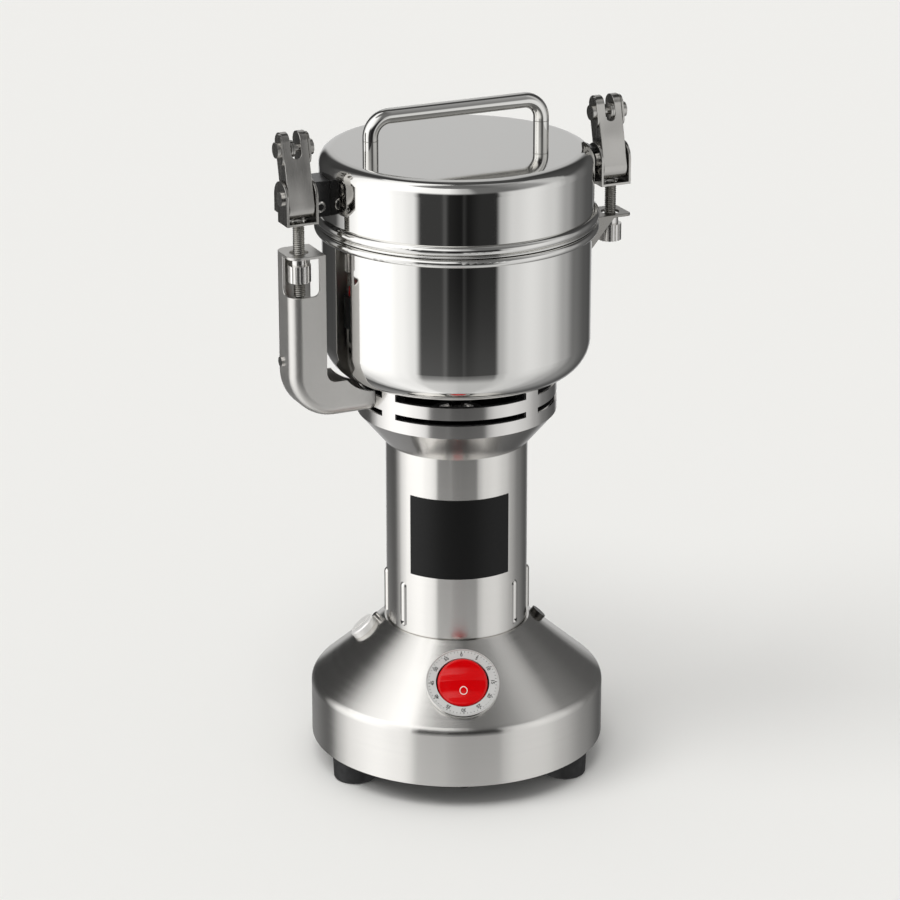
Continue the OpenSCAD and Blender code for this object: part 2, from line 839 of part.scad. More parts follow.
// Laminated stator with two poles round the armature
module stator_core() {
    color("slategray") {
        ring(stator_r - stator_yoke, stator_r, stack_z, stack_top_z);
        for (turn = [0, half_turn]) {
            ring_part(stator_bore_r, stator_bore_r + pole_tip, stack_z, stack_top_z,
                front_turn + turn, pole_span);
            ring_part(stator_bore_r, stator_r - stator_yoke / 2, stack_z, stack_top_z,
                front_turn + turn, pole_root_span);
        }
    }
}

module field_coils() {
    color("peru") for (turn = [0, half_turn], z = [stack_z - coil_h, stack_top_z])
        ring_part(coil_in_r, coil_in_r + coil_t, z, z + coil_h, front_turn + turn, coil_span);
}

module brush_places() {
    for (turn = [quarter, -quarter]) at_turn(front_turn + turn)
        translate([0, -commutator_r, brush_mid_z]) children();
}

module brush_holders() {
    box_w = brush_w + 2 * brush_box_t;
    box_h = brush_d + 2 * brush_box_t;
    color("goldenrod") brush_places() translate([0, -brush_box_back, 0]) difference() {
        translate([-box_w / 2, -brush_box_l, -box_h / 2]) cube([box_w, brush_box_l, box_h]);
        translate([-brush_w / 2 - run_fit, -brush_box_l + brush_box_t, -brush_d / 2 - run_fit])
            cube([brush_w + 2 * run_fit, brush_box_l, brush_d + 2 * run_fit]);
    }
}

module carbon_brushes() {
    color("#303030") difference() {
        brush_places() translate([-brush_w / 2, -brush_len, -brush_d / 2]) cube([brush_w, brush_len, brush_d]);
        translate([0, 0, brush_mid_z - brush_d]) cylinder(r = commutator_r + brush_gap, h = 2 * brush_d);
    }
}

// A low drum with a bevelled edge and a coin slot, screwed into the fuse holder
module fuse_cap() {
    color("gainsboro") on_cone(front_turn + cap_turn, cap_place_r, cap_z) difference() {
        union() {
            difference() {
                union() {
                    translate([0, 0, -cap_h]) cylinder(r = cap_r, h = 2 * cap_h - cap_edge);
                    translate([0, 0, cap_h - cap_edge])
                        cylinder(r1 = cap_r, r2 = cap_r - cap_edge, h = cap_edge);
                }
                under_cone(cap_place_r, cap_z);
            }
            translate([0, 0, -sheet_t]) cylinder(r = fuse_r, h = sheet_t + over);
        }
        translate([-cap_slot_w / 2, -cap_r, cap_h - cap_slot_d]) cube([cap_slot_w, 2 * cap_r, cap_slot_d + over]);
    }
}

module fuse_holder() {
    color("#252525") on_cone(front_turn + cap_turn, cap_place_r, cap_z) {
        translate([0, 0, -fuse_len]) cylinder(r = fuse_r, h = fuse_len - sheet_t);
        translate([0, 0, -sheet_t - fuse_nut_gap - fuse_nut_h])
            cylinder(r = fuse_nut_r, h = fuse_nut_h, $fn = sides_hex);
    }
}

// A screw through cone and tube flange, with its nut below
module cone_screw(r, head_r, head_h, place_r, place_z) {
    under = sheet_t + tube_flange_t;
    difference() {
        translate([0, 0, -head_h]) cylinder(r = head_r, h = 2 * head_h);
        under_cone(place_r, place_z);
    }
    translate([0, 0, -under - cone_nut_h]) cylinder(r = r, h = under + cone_nut_h + over);
    translate([0, 0, -under - cone_nut_h - run_fit])
        cylinder(r = r * cone_nut_share, h = cone_nut_h, $fn = sides_hex);
}

module flange_screw() {
    color("darkgray") on_cone(front_turn + small_turn, small_place_r, small_z)
        cone_screw(small_screw_r, small_head_r, small_head_h, small_place_r, small_z);
}

module side_plug() {
    color("#4a4a4a") on_cone(front_turn + plug_turn, plug_place_r, plug_z)
        cone_screw(plug_shank_r, plug_r, plug_h, plug_place_r, plug_z);
}

module dial_ring() {
    color("silver") on_cone(front_turn, dial_place_r, dial_z) difference() {
        union() {
            translate([0, 0, -2 * dial_h]) cylinder(r = dial_r, h = 3 * dial_h - dial_edge);
            translate([0, 0, dial_h - dial_edge]) cylinder(r1 = dial_r, r2 = dial_r - dial_edge, h = dial_edge);
        }
        under_cone(dial_place_r, dial_z);
        translate([0, 0, -3 * dial_h]) cylinder(r = rocker_r + rocker_gap, h = 5 * dial_h);
        translate([0, 0, -3 * dial_h]) cylinder(r = dial_body_r + loose_fit, h = 3 * dial_h + dial_seat);
    }
}

module switch_body() {
    low = dial_seat - switch_depth;
    color("#222222") on_cone(front_turn, dial_place_r, dial_z) {
        difference() {
            union() {
                translate([0, 0, low + block_h]) cylinder(r = dial_body_r, h = switch_depth - block_h);
                translate([-block_w / 2, -block_w / 2, low]) cube([block_w, block_w, block_h + over]);
            }
            sphere(r = rocker_r + rocker_gap);
        }
        for (x = [-tab_step, 0, tab_step], y = [-tab_step / 2, tab_step / 2])
            translate([x - tab_t / 2, y - tab_w / 2, low - tab_h]) cube([tab_t, tab_w, tab_h]);
    }
}

// Round rocker, cut from a ball about its pivot so that it tilts within its ring
module rocker() {
    side = rocker_r + over;
    color("red") on_cone(front_turn, dial_place_r, dial_z) intersection() {
        sphere(r = rocker_r);
        rotate([quarter, 0, quarter]) translate([0, 0, -side]) linear_extrude(height = 2 * side) polygon([
            [-side, -rocker_floor], [side, -rocker_floor], [side, rocker_high], [0, rocker_mid],
            [-side, rocker_low]
        ]);
    }
}

// Bushing in the back of the skirt that the mains lead passes through
module cord_gland() {
    color("#1c1c1c") at_turn(front_turn + gland_turn) translate([0, -skirt_r, gland_z])
        rotate([quarter, 0, 0]) difference() {
            union() {
                translate([0, 0, -gland_back]) cylinder(r = gland_r, h = gland_back + gland_flange_t);
                cylinder(r = gland_flange_r, h = gland_flange_t);
                translate([0, 0, -sheet_t - gland_gap - gland_lip]) cylinder(r = gland_flange_r, h = gland_lip);
            }
            translate([0, 0, -gland_back - over])
                cylinder(r = gland_bore_r, h = gland_back + gland_flange_t + 2 * over);
        }
}

module terminal_block() {
    color("ivory") at_turn(front_turn + gland_turn) translate([0, -skirt_r / 2, plate_top_z]) difference() {
        translate([-term_ways * term_pitch / 2, -term_d / 2, 0]) cube([term_ways * term_pitch, term_d, term_h]);
        for (i = [0 : term_ways - 1], y = [-term_d / 4, term_d / 4])
            translate([(i - (term_ways - 1) / 2) * term_pitch, y, term_h / 2])
                cylinder(r = term_hole_r, h = term_h);
    }
}

// Half section of a pan with a rounded corner, drawn in by an inset
module pan_section(r, corner_r, z, top, inset) {
    polygon([
        [0, z + inset], [r - corner_r, z + inset], [r - corner_r, z + corner_r],
        [r - inset, z + corner_r], [r - inset, top], [0, top]
    ]);
    translate([r - corner_r, z + corner_r]) circle(r = corner_r - inset);
}

module bowl() {
    color("silver") difference() {
        union() {
            rotate_extrude() pan_section(bowl_r, bowl_corner_r, bowl_z, bowl_bead_z, 0);
            translate([0, 0, bowl_bead_z]) rotate_extrude()
                translate([bowl_bead_x, 0]) circle(r = bowl_bead_r);
        }
        rotate_extrude() pan_section(bowl_r, bowl_corner_r, bowl_z, bowl_bead_z + bowl_bead_r + over, bowl_t);
        translate([0, 0, bowl_z - over]) cylinder(r = seal_body_r + run_fit, h = bowl_t + 2 * over);
    }
}

// Lip seal and its bush in the floor of the bowl
module shaft_seal() {
    color("#303030") difference() {
        union() {
            translate([0, 0, bowl_z - seal_body_h]) cylinder(r = seal_body_r, h = seal_body_h + bowl_t);
            translate([0, 0, bowl_floor_z]) cylinder(r = seal_body_r + seal_lip_t, h = seal_lip_t);
        }
        translate([0, 0, bowl_z - seal_body_h - over])
            cylinder(r = shaft_r + run_fit, h = seal_body_h + bowl_t + seal_lip_t + 2 * over);
    }
}

// Outline of the arm across its length: x from the elbow's centre, y along the bowl
module arm_outline() {
    translate([elbow_in_r, -arm_w / 2]) square([arm_d - arm_edge_r, arm_w]);
    translate([elbow_in_r, -arm_w / 2 + arm_edge_r]) square([arm_d, arm_w - 2 * arm_edge_r]);
    for (side = [-1, 1])
        translate([elbow_r - arm_edge_r, side * (arm_w / 2 - arm_edge_r)]) circle(r = arm_edge_r);
}

// The outline drawn in by the sheet and open towards the bowl
module arm_core_outline() {
    translate([elbow_in_r - arm_t, -arm_w / 2 + arm_t])
        square([arm_d - arm_edge_r + arm_t, arm_w - 2 * arm_t]);
    translate([elbow_in_r - arm_t, -arm_w / 2 + arm_edge_r]) square([arm_d, arm_w - 2 * arm_edge_r]);
    for (side = [-1, 1])
        translate([elbow_r - arm_edge_r, side * (arm_w / 2 - arm_edge_r)]) circle(r = arm_edge_r - arm_t);
}

// Takes an outline straight down, round the elbow and in towards the neck
module arm_sweep(top, end) {
    translate([elbow_x, 0, elbow_z]) {
        linear_extrude(height = top - elbow_z) children();
        rotate([-quarter, 0, 0]) rotate_extrude(angle = quarter) children();
        rotate([0, quarter, half_turn]) linear_extrude(height = elbow_x - end) children();
    }
}

// A square with one rounded corner, at its origin
module round_corner(w, h, r) {
    translate([r, 0]) square([w - r, h]);
    translate([0, r]) square([w, h - r]);
    translate([r, r]) circle(r = r);
}

// Window round the nut: through the front face and the outer face, over the corner
module arm_window() {
    low = arm_top_z - arm_t - window_h;
    reach = arm_w + arm_d;
    intersection() {
        translate([arm_in_r + window_in, reach, low]) rotate([quarter, 0, 0])
            linear_extrude(height = 2 * reach) round_corner(reach, window_h, window_edge_r);
        translate([arm_r + over, window_y, low]) rotate([quarter, 0, -quarter])
            linear_extrude(height = reach) round_corner(reach, window_h, window_edge_r);
    }
}

module latch_arm() {
    color("gainsboro") mirror([1, 0, 0]) difference() {
        arm_sweep(arm_top_z, neck_in_r) arm_outline();
        arm_sweep(arm_top_z - arm_t, neck_in_r - over) arm_core_outline();
        rotate_extrude() pan_section(bowl_r + bowl_clear, bowl_corner_r + bowl_clear,
            bowl_z - bowl_clear, lid_top_z, 0);
        translate([latch_r, rod_y, arm_top_z - arm_t - over]) cylinder(r = rod_hole_r, h = arm_t + 2 * over);
        arm_window();
        translate([0, 0, arm_z - over]) cylinder(r = neck_r + run_fit, h = arm_d + 2 * over);
        translate([arm_r - arm_edge_r, arm_screw_y, arm_screw_z]) rotate([0, quarter, 0])
            cylinder(r = arm_screw_r + run_fit, h = arm_edge_r + over);
    }
}

module arm_screw() {
    color("silver") mirror([1, 0, 0]) translate([arm_r, arm_screw_y, arm_screw_z]) rotate([0, -quarter, 0])
        screw(arm_screw_r, arm_t + interlock_foot_t, arm_screw_head_r, arm_screw_head_h);
}

// Small switch on a mounting foot inside the arm, its plunger under the left rod
module interlock_switch() {
    foot_z = elbow_z + over;
    wall_x = arm_r - arm_t;
    color("#2a2a2a") mirror([1, 0, 0]) difference() {
        union() {
            translate([interlock_x, -interlock_d / 2, interlock_top_z - interlock_h])
                cube([interlock_w, interlock_d, interlock_h]);
            translate([wall_x - interlock_foot_t, -interlock_d / 2, foot_z])
                cube([interlock_foot_t, interlock_d, interlock_top_z - foot_z]);
        }
        translate([latch_r, rod_y, plunger_z - rod_travel - move_gap])
            cylinder(r = plunger_r + run_fit, h = plunger_len + rod_travel);
        translate([wall_x - arm_edge_r, arm_screw_y, arm_screw_z]) rotate([0, quarter, 0])
            cylinder(r = arm_screw_r + run_fit, h = arm_edge_r + over);
    }
}

module interlock_plunger() {
    color("firebrick") mirror([1, 0, 0]) translate([latch_r, rod_y, plunger_z])
        cylinder(r = plunger_r, h = plunger_len);
}

// Plate with two gussets, welded to the bowl's wall
module right_bracket() {
    low = arm_top_z - arm_t;
    tip_x = arm_r - gusset_back;
    start = bowl_r - bowl_corner_r;
    color("gainsboro") difference() {
        union() {
            translate([start, -bracket_w / 2 + bracket_corner_r, low])
                cube([arm_r - start, bracket_w - 2 * bracket_corner_r, arm_t]);
            translate([start, -bracket_w / 2, low])
                cube([arm_r - bracket_corner_r - start, bracket_w, arm_t]);
            for (side = [-1, 1])
                translate([arm_r - bracket_corner_r, side * (bracket_w / 2 - bracket_corner_r), low])
                    cylinder(r = bracket_corner_r, h = arm_t);
            for (side = [-1, 1]) translate([0, side * (bracket_w / 2 - gusset_t / 2) + gusset_t / 2, 0])
                rotate([quarter, 0, 0]) linear_extrude(height = gusset_t) polygon([
                    [start, low], [tip_x, low], [bowl_r, low - gusset_h], [start, low - gusset_h]
                ]);
        }
        translate([0, 0, low - gusset_h - over]) cylinder(r = bowl_r, h = gusset_h + 2 * arm_t + 2 * over);
        translate([latch_r, rod_y, low - over]) cylinder(r = rod_hole_r, h = arm_t + 2 * over);
    }
}

module shaft() {
    color("silver") translate([0, 0, shaft_z]) cylinder(r = shaft_r, h = shaft_top_z - shaft_z);
}

module armature_core() {
    color("slategray") translate([0, 0, stack_z]) linear_extrude(height = stack_h) difference() {
        circle(r = armature_r);
        circle(r = shaft_r);
        for (i = [0 : slot_n - 1]) rotate(i * full / slot_n) {
            translate([slot_place_r, 0]) circle(r = slot_r);
            translate([slot_place_r, -slot_w / 2]) square([armature_r, slot_w]);
        }
    }
}

// Windings: a bar in each slot and a ring of end turns on either side
module armature_coils() {
    end_h = coil_h - over;
    color("chocolate") {
        for (i = [0 : slot_n - 1]) rotate(i * full / slot_n)
            translate([slot_place_r, 0, stack_z - over]) cylinder(r = slot_r - run_fit, h = stack_h + 2 * over);
        ring(winding_in_r, winding_out_r, stack_z - end_h, stack_z);
        ring(winding_in_r, winding_out_r, stack_top_z, stack_top_z + end_h);
    }
}

module commutator() {
    color("peru") translate([0, 0, commutator_z]) difference() {
        cylinder(r = commutator_r, h = commutator_h);
        translate([0, 0, -over]) cylinder(r = shaft_r, h = commutator_h + 2 * over);
        for (i = [0 : segment_n - 1]) rotate([0, 0, i * full / segment_n])
            translate([commutator_r - segment_d, -segment_gap / 2, -over])
                cube([2 * segment_d, segment_gap, commutator_h + 2 * over]);
    }
}

module cooling_fan() {
    start = shaft_r + over;
    color("#303030") translate([0, 0, fan_z]) difference() {
        union() {
            cylinder(r = fan_hub_r, h = fan_h);
            cylinder(r = fan_r, h = fan_t);
            for (i = [0 : fan_n - 1]) rotate([0, 0, i * full / fan_n])
                translate([start, -fan_blade_t / 2, 0]) cube([fan_r - start - over, fan_blade_t, fan_h]);
        }
        translate([0, 0, -over]) cylinder(r = shaft_r, h = fan_h + 2 * over);
    }
}

module blade_spacers() {
    low = bowl_floor_z + seal_lip_t + move_gap;
    color("silver") {
        ring(shaft_r, blade_hub_r, low, blade_low_z);
        ring(shaft_r, blade_hub_r, blade_low_z + blade_t, blade_up_z);
    }
}

// Two-armed blade whose tapering arms bend up towards their tips
module blade(reach, bend) {
    flat = reach * blade_flat_share;
    end = reach + blade_t;
    rise = (end - flat) * tan(bend);
    top_x = end - blade_t * sin(bend);
    top_z = rise + blade_t * cos(bend);
    fold_x = flat - blade_t * tan(bend / 2);
    half_w = blade_w / 2;
    tip_w = half_w * blade_tip_share;
    difference() {
        intersection() {
            rotate([quarter, 0, 0]) linear_extrude(height = blade_w + 2 * over, center = true) polygon([
                [-end, rise], [-flat, 0], [flat, 0], [end, rise],
                [top_x, top_z], [fold_x, blade_t], [-fold_x, blade_t], [-top_x, top_z]
            ]);
            translate([0, 0, -over]) linear_extrude(height = top_z + 2 * over) polygon([
                [-flat, -half_w], [flat, -half_w], [reach, -tip_w], [reach - tip_w, tip_w],
                [flat, half_w], [-flat, half_w], [-reach, tip_w], [tip_w - reach, -tip_w]
            ]);
        }
        translate([0, 0, -over]) cylinder(r = shaft_r, h = blade_t + 2 * over);
    }
}

module lower_blade() {
    color("silver") translate([0, 0, blade_low_z]) blade(blade_reach, blade_low_bend);
}

module upper_blade() {
    color("silver") translate([0, 0, blade_up_z]) rotate([0, 0, quarter])
        blade(blade_reach * blade_up_share, blade_up_bend);
}

module blade_nut() {
    color("silver") translate([0, 0, blade_up_z + blade_t]) difference() {
        cylinder(r = shaft_nut_r, h = shaft_nut_h, $fn = sides_hex);
        translate([0, 0, -over]) cylinder(r = shaft_r, h = shaft_nut_h + 2 * over);
    }
}

module handle_places() {
    for (side = [-1, 1]) translate([side * handle_x, 0, 0]) children();
}

module lid_screw_places() {
    for (side = [-1, 1], z = [-lid_screw_step / 2, lid_screw_step / 2])
        translate([0, lug_y, lug_z + lug_h / 2 + z]) rotate([0, side * quarter, 0]) children();
}

module lid_shell() {
    color("silver") difference() {
        union() {
            translate([0, 0, lid_top_z]) mirror([0, 0, 1]) rotate_extrude()
                pan_section(lid_r, lid_corner_r, 0, lid_h, 0);
            translate([0, 0, lid_bead_z]) rotate_extrude() translate([lid_bead_x, 0]) circle(r = lid_bead_r);
        }
        translate([0, 0, lid_top_z]) mirror([0, 0, 1]) rotate_extrude()
            pan_section(lid_r, lid_corner_r, 0, lid_h + lid_bead_r + over, lid_t);
        handle_places() translate([0, 0, lid_top_z - lid_t - over])
            cylinder(r = handle_stud_r + run_fit, h = lid_t + 2 * over);
        lid_screw_places() cylinder(r = lug_screw_r + run_fit, h = lid_r + over);
    }
}

module lid_gasket() {
    color("#2b2b2b") {
        ring(seal_out_r - seal_t, seal_out_r, seal_z, seal_z + seal_up);
        ring(seal_out_r - seal_t, rim_out_r - seal_lip, seal_z, seal_z + seal_h);
    }
}

module handle() {
    leg_top = handle_mid_z - handle_bend_r;
    color("silver") {
        handle_places() {
            translate([0, 0, lid_top_z]) cylinder(r = handle_rod_r, h = leg_top - lid_top_z);
            translate([0, 0, lid_top_z - lid_t - handle_nut_h])
                cylinder(r = handle_stud_r, h = lid_t + handle_nut_h + over);
        }
        for (side = [0, 1]) mirror([side, 0, 0]) translate([handle_x - handle_bend_r, 0, leg_top])
            rotate([quarter, 0, 0]) rotate_extrude(angle = quarter)
                translate([handle_bend_r, 0]) circle(r = handle_rod_r);
        translate([-handle_x + handle_bend_r, 0, handle_mid_z]) rotate([0, quarter, 0])
            cylinder(r = handle_rod_r, h = handle_span - 2 * handle_bend_r);
    }
}

module handle_nuts() {
    color("silver") handle_places() translate([0, 0, lid_top_z - lid_t - handle_nut_h]) difference() {
        cylinder(r = handle_nut_r, h = handle_nut_h, $fn = sides_hex);
        translate([0, 0, -over]) cylinder(r = handle_stud_r + run_fit, h = handle_nut_h + 2 * over);
    }
}

// Block that carries a yoke, its inner face following the lid's wall
module lug() {
    difference() {
        translate([lid_in_r, lug_y - lug_w / 2, lug_z]) cube([lug_out_r - lid_in_r, lug_w, lug_h]);
        translate([0, 0, lug_z - over]) cylinder(r = lid_r, h = lug_h + 2 * over);
        translate([lug_out_r - lug_recess, 0, pivot_z]) rotate([0, quarter, 0])
            cylinder(r = pivot_head_r + move_gap, h = lug_recess + over);
        translate([lug_out_r - lug_screw_in, lug_y - lug_w / 2 - over, lug_z + lug_screw_up])
            rotate([-quarter, 0, 0]) cylinder(r = lug_screw_r + run_fit, h = lug_screw_len + over);
        lid_screw_places() cylinder(r = lug_screw_r + run_fit, h = lid_in_r + lid_screw_len);
    }
}

module left_lug() {
    color("#202020") mirror([1, 0, 0]) lug();
}

module right_lug() {
    color("#202020") lug();
}

// A screw in the front of each lug, and two from inside the lid into each lug
module lug_screws() {
    seat_r = sqrt(pow(lid_in_r, 2) - pow(lug_y + lid_screw_head_r, 2));
    color("silver") {
        for (side = [0, 1]) mirror([side, 0, 0])
            translate([lug_out_r - lug_screw_in, lug_y - lug_w / 2, lug_z + lug_screw_up])
                rotate([-quarter, 0, 0])
                    screw(lug_screw_r, lug_screw_len, lug_screw_head_r, lug_screw_head_h);
        lid_screw_places() translate([0, 0, seat_r])
            screw(lug_screw_r, lid_screw_len, lid_screw_head_r, lug_screw_head_h);
    }
}

// Side profile of a yoke's cheek: x is the object's Y, y its height
module cheek_profile() {
    translate([-yoke_front, yoke_z]) square([yoke_front + yoke_back, pivot_z - yoke_z]);
    translate([-yoke_front, yoke_step_z]) square([yoke_front + yoke_step, pivot_z - yoke_step_z]);
    translate([yoke_arch_y, pivot_z]) circle(r = yoke_arch_r);
}

// U-shaped yoke: two cheeks with the lever's pivot, and a plate that the rod comes up through
module yoke() {
    difference() {
        union() {
            for (x = [latch_r - yoke_out_w / 2, latch_r + yoke_in_w / 2])
                translate([x, 0, 0]) rotate([quarter, 0, quarter]) linear_extrude(height = yoke_t) cheek_profile();
            translate([latch_r - yoke_out_w / 2, -yoke_front, yoke_z])
                cube([yoke_out_w, yoke_front + yoke_back, yoke_t]);
        }
        translate([latch_r - yoke_out_w, 0, pivot_z]) rotate([0, quarter, 0])
            cylinder(r = pivot_r + run_fit, h = 2 * yoke_out_w);
        translate([latch_r, rod_y, yoke_z - over]) cylinder(r = rod_slot_r, h = yoke_t + 2 * over);
    }
}

module left_yoke() {
    color("darkgray") mirror([1, 0, 0]) yoke();
}

module right_yoke() {
    color("darkgray") yoke();
}

module pivot_rivets() {
    color("silver") for (side = [0, 1]) mirror([side, 0, 0])
        translate([latch_r - yoke_out_w / 2, 0, pivot_z]) rotate([0, quarter, 0]) {
            translate([0, 0, -pivot_head_t]) cylinder(r = pivot_head_r, h = pivot_head_t);
            cylinder(r = pivot_r, h = yoke_out_w);
            translate([0, 0, yoke_out_w]) cylinder(r = pivot_head_r, h = pivot_head_t);
        }
}

// Side profile of a lever, upright: x is the object's Y, y the height above the pivot
module lever_profile() {
    intersection() {
        union() {
            translate([lever_toe_y, -lever_toe_z]) circle(r = lever_toe_r);
            translate([-lever_front, -lever_toe_z]) square([lever_d, lever_toe_z + lever_len - ear_r]);
            translate([ear_y, lever_len - ear_r]) circle(r = ear_r);
        }
        translate([-lever_front, -2 * lever_toe_r]) square([lever_d, 2 * lever_toe_r + lever_len]);
    }
}

// Puts its children on a lever's pivot, leaning back as the closed lever does
module on_pivot() {
    translate([latch_r, 0, pivot_z]) rotate([-lever_lean, 0, 0]) children();
}

// Inside of the channel: open to the back, its toe rolled under
module lever_hollow() {
    translate([lever_toe_y, -lever_toe_z]) circle(r = lever_toe_r - lever_t);
    translate([lever_t - lever_front, -lever_toe_z]) square([lever_d, lever_toe_z + lever_len + over]);
    translate([lever_toe_y, lever_t - lever_toe_r - lever_toe_z]) square([lever_d, lever_toe_r]);
}

// Forked lever: a channel open to the back, with a slot through its front above the plate
module lever() {
    slot_half = ear_gap / 2;
    on_pivot() difference() {
        translate([-lever_w / 2, 0, 0]) rotate([quarter, 0, quarter])
            linear_extrude(height = lever_w) lever_profile();
        translate([-slot_half, 0, 0]) rotate([quarter, 0, quarter])
            linear_extrude(height = ear_gap) lever_hollow();
        translate([0, lever_d, ear_z + slot_half]) rotate([quarter, 0, 0])
            cylinder(r = slot_half, h = 2 * lever_d);
        translate([-slot_half, -lever_d, ear_z + slot_half]) cube([ear_gap, 2 * lever_d, lever_len]);
        translate([-lever_w, 0, 0]) rotate([0, quarter, 0]) cylinder(r = pivot_r + run_fit, h = 2 * lever_w);
        translate([-lever_w, cross_y, cross_z]) rotate([0, quarter, 0])
            cylinder(r = cross_r, h = 2 * lever_w);
    }
}

// An oval link plate, its middle at the origin and its long way along Z
module link() {
    reach = link_len / 2 - link_r;
    rotate([0, quarter, 0]) linear_extrude(height = link_t) {
        translate([-reach, -link_r]) square([2 * reach, 2 * link_r]);
        for (side = [-1, 1]) translate([side * reach, 0]) circle(r = link_r);
    }
}

// Cross pin with its heads, the two link plates and the two washers
module lever_pin() {
    head_x = lever_w / 2 + link_t;
    on_pivot() translate([0, cross_y, cross_z]) {
        translate([-head_x, 0, 0]) rotate([0, quarter, 0]) cylinder(r = cross_r, h = 2 * head_x);
        for (side = [0, 1]) mirror([side, 0, 0]) {
            translate([lever_w / 2, 0, 0]) link();
            translate([head_x, 0, 0]) rotate([0, quarter, 0]) cylinder(r = cross_head_r, h = cross_head_t);
        }
        for (i = [0, 1])
            translate([ear_gap / 2 - washer_gap - washer_t - i * (washer_t + washer_gap), 0, 0])
                rotate([0, quarter, 0]) cylinder(r = washer_r, h = washer_t);
    }
}

module left_lever() {
    color("gray") mirror([1, 0, 0]) lever();
}

module left_lever_pin() {
    color("silver") mirror([1, 0, 0]) lever_pin();
}

module right_lever() {
    color("gray") lever();
}

module right_lever_pin() {
    color("silver") lever_pin();
}

module left_rod() {
    color("darkgray") translate([-latch_r, rod_y, rod_left_z]) cylinder(r = rod_r, h = rod_top_z - rod_left_z);
}

module right_rod() {
    color("darkgray") translate([latch_r, rod_y, rod_right_z]) cylinder(r = rod_r, h = rod_top_z - rod_right_z);
}

// Knurled nut with a collar; a bore that starts above zero leaves its foot closed
module nut(bore_z) {
    difference() {
        union() {
            cylinder(r = nut_r, h = nut_h);
            cylinder(r = nut_collar_r, h = nut_h + nut_collar_h);
        }
        translate([0, 0, bore_z]) cylinder(r = rod_r + run_fit, h = nut_h + nut_collar_h + over - bore_z);
        for (i = [0 : nut_grooves - 1]) rotate([0, 0, i * full / nut_grooves])
            translate([nut_r, 0, -over]) cylinder(r = nut_groove_r, h = nut_h + 2 * over);
    }
}

module left_nut() {
    color("silver") translate([-latch_r, rod_y, nut_z]) nut(-over);
}

module right_nut() {
    color("silver") translate([latch_r, rod_y, nut_z]) nut(nut_floor);
}

base_shell();
base_plate();
base_screws();
feet();
foot_screws();
motor_tube();
neck();
bowl_studs();
upper_bearing();
lower_bearing();
bearing_bracket();
motor_rings();
stator_core();
field_coils();
brush_holders();
carbon_brushes();
fuse_cap();
fuse_holder();
flange_screw();
side_plug();
dial_ring();
switch_body();
cord_gland();
terminal_block();
bowl();
shaft_seal();
latch_arm();
arm_screw();
interlock_switch();
right_bracket();
shaft();
armature_core();
armature_coils();
commutator();
cooling_fan();
blade_spacers();
lower_blade();
upper_blade();
blade_nut();
lid_shell();
lid_gasket();
handle();
handle_nuts();
left_lug();
right_lug();
lug_screws();
left_yoke();
right_yoke();
pivot_rivets();
left_lever();
left_lever_pin();
right_lever();
right_lever_pin();
left_rod();
right_rod();
left_nut();
right_nut();
rocker();
interlock_plunger();
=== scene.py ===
import json
import math

import bmesh
import bpy
from mathutils import Matrix, Vector


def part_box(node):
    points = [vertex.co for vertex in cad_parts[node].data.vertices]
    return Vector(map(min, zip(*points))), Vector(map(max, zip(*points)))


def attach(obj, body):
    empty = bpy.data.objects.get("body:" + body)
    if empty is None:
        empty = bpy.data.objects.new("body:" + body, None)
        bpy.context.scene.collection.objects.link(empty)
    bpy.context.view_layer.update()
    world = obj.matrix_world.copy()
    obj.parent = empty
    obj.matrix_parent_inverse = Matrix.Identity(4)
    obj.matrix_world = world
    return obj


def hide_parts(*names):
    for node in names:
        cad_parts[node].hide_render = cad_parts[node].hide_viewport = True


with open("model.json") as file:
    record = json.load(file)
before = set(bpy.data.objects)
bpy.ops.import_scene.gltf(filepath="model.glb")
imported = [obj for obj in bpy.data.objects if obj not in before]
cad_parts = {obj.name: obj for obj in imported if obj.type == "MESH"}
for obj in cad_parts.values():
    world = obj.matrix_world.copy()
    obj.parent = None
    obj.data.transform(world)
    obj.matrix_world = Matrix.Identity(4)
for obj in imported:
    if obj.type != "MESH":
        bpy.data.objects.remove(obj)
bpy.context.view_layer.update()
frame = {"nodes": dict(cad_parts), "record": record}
nodes = frame["nodes"]
print("frame loaded:", len(nodes), "parts")


def mm(value):
    return value / 1000


def hexColour(text):
    # sRGB hex to the linear colour that the shaders take
    parts = [int(text[i:i + 2], 16) / 255 for i in (1, 3, 5)]
    return tuple(c / 12.92 if c <= 0.04045 else ((c + 0.055) / 1.055) ** 2.4 for c in parts) + (1.0,)


def addNode(tree, kind, inputs=None, **settings):
    # one shader node, with its settings and with what feeds its sockets
    node = tree.nodes.new(kind)
    for key, value in settings.items():
        setattr(node, key, value)
    for key, value in (inputs or {}).items():
        if isinstance(value, bpy.types.NodeSocket):
            tree.links.new(value, node.inputs[key])
        else:
            node.inputs[key].default_value = value
    return node


def setRamp(node, stops):
    # grey levels at their places, with soft changes between them
    ramp = node.color_ramp
    ramp.interpolation = "EASE"
    while len(ramp.elements) > 1:
        ramp.elements.remove(ramp.elements[0])
    ramp.elements[0].position = stops[0][0]
    for place, _ in stops[1:]:
        ramp.elements.new(place)
    for element, (place, level) in zip(ramp.elements, stops):
        element.position = place
        element.color = (level, level, level, 1.0)


def newMaterial(name, colour, metallic, roughness, **sockets):
    material = bpy.data.materials.new(name)
    material.use_nodes = True
    tree = material.node_tree
    shader = tree.nodes["Principled BSDF"]
    shader.inputs["Base Color"].default_value = hexColour(colour)
    shader.inputs["Metallic"].default_value = metallic
    shader.inputs["Roughness"].default_value = roughness
    for key, value in sockets.items():
        shader.inputs[key.replace("_", " ")].default_value = value
    material.diffuse_color = hexColour(colour)
    return material, tree, shader


def objectPlace(tree):
    return addNode(tree, "ShaderNodeTexCoord").outputs["Object"]


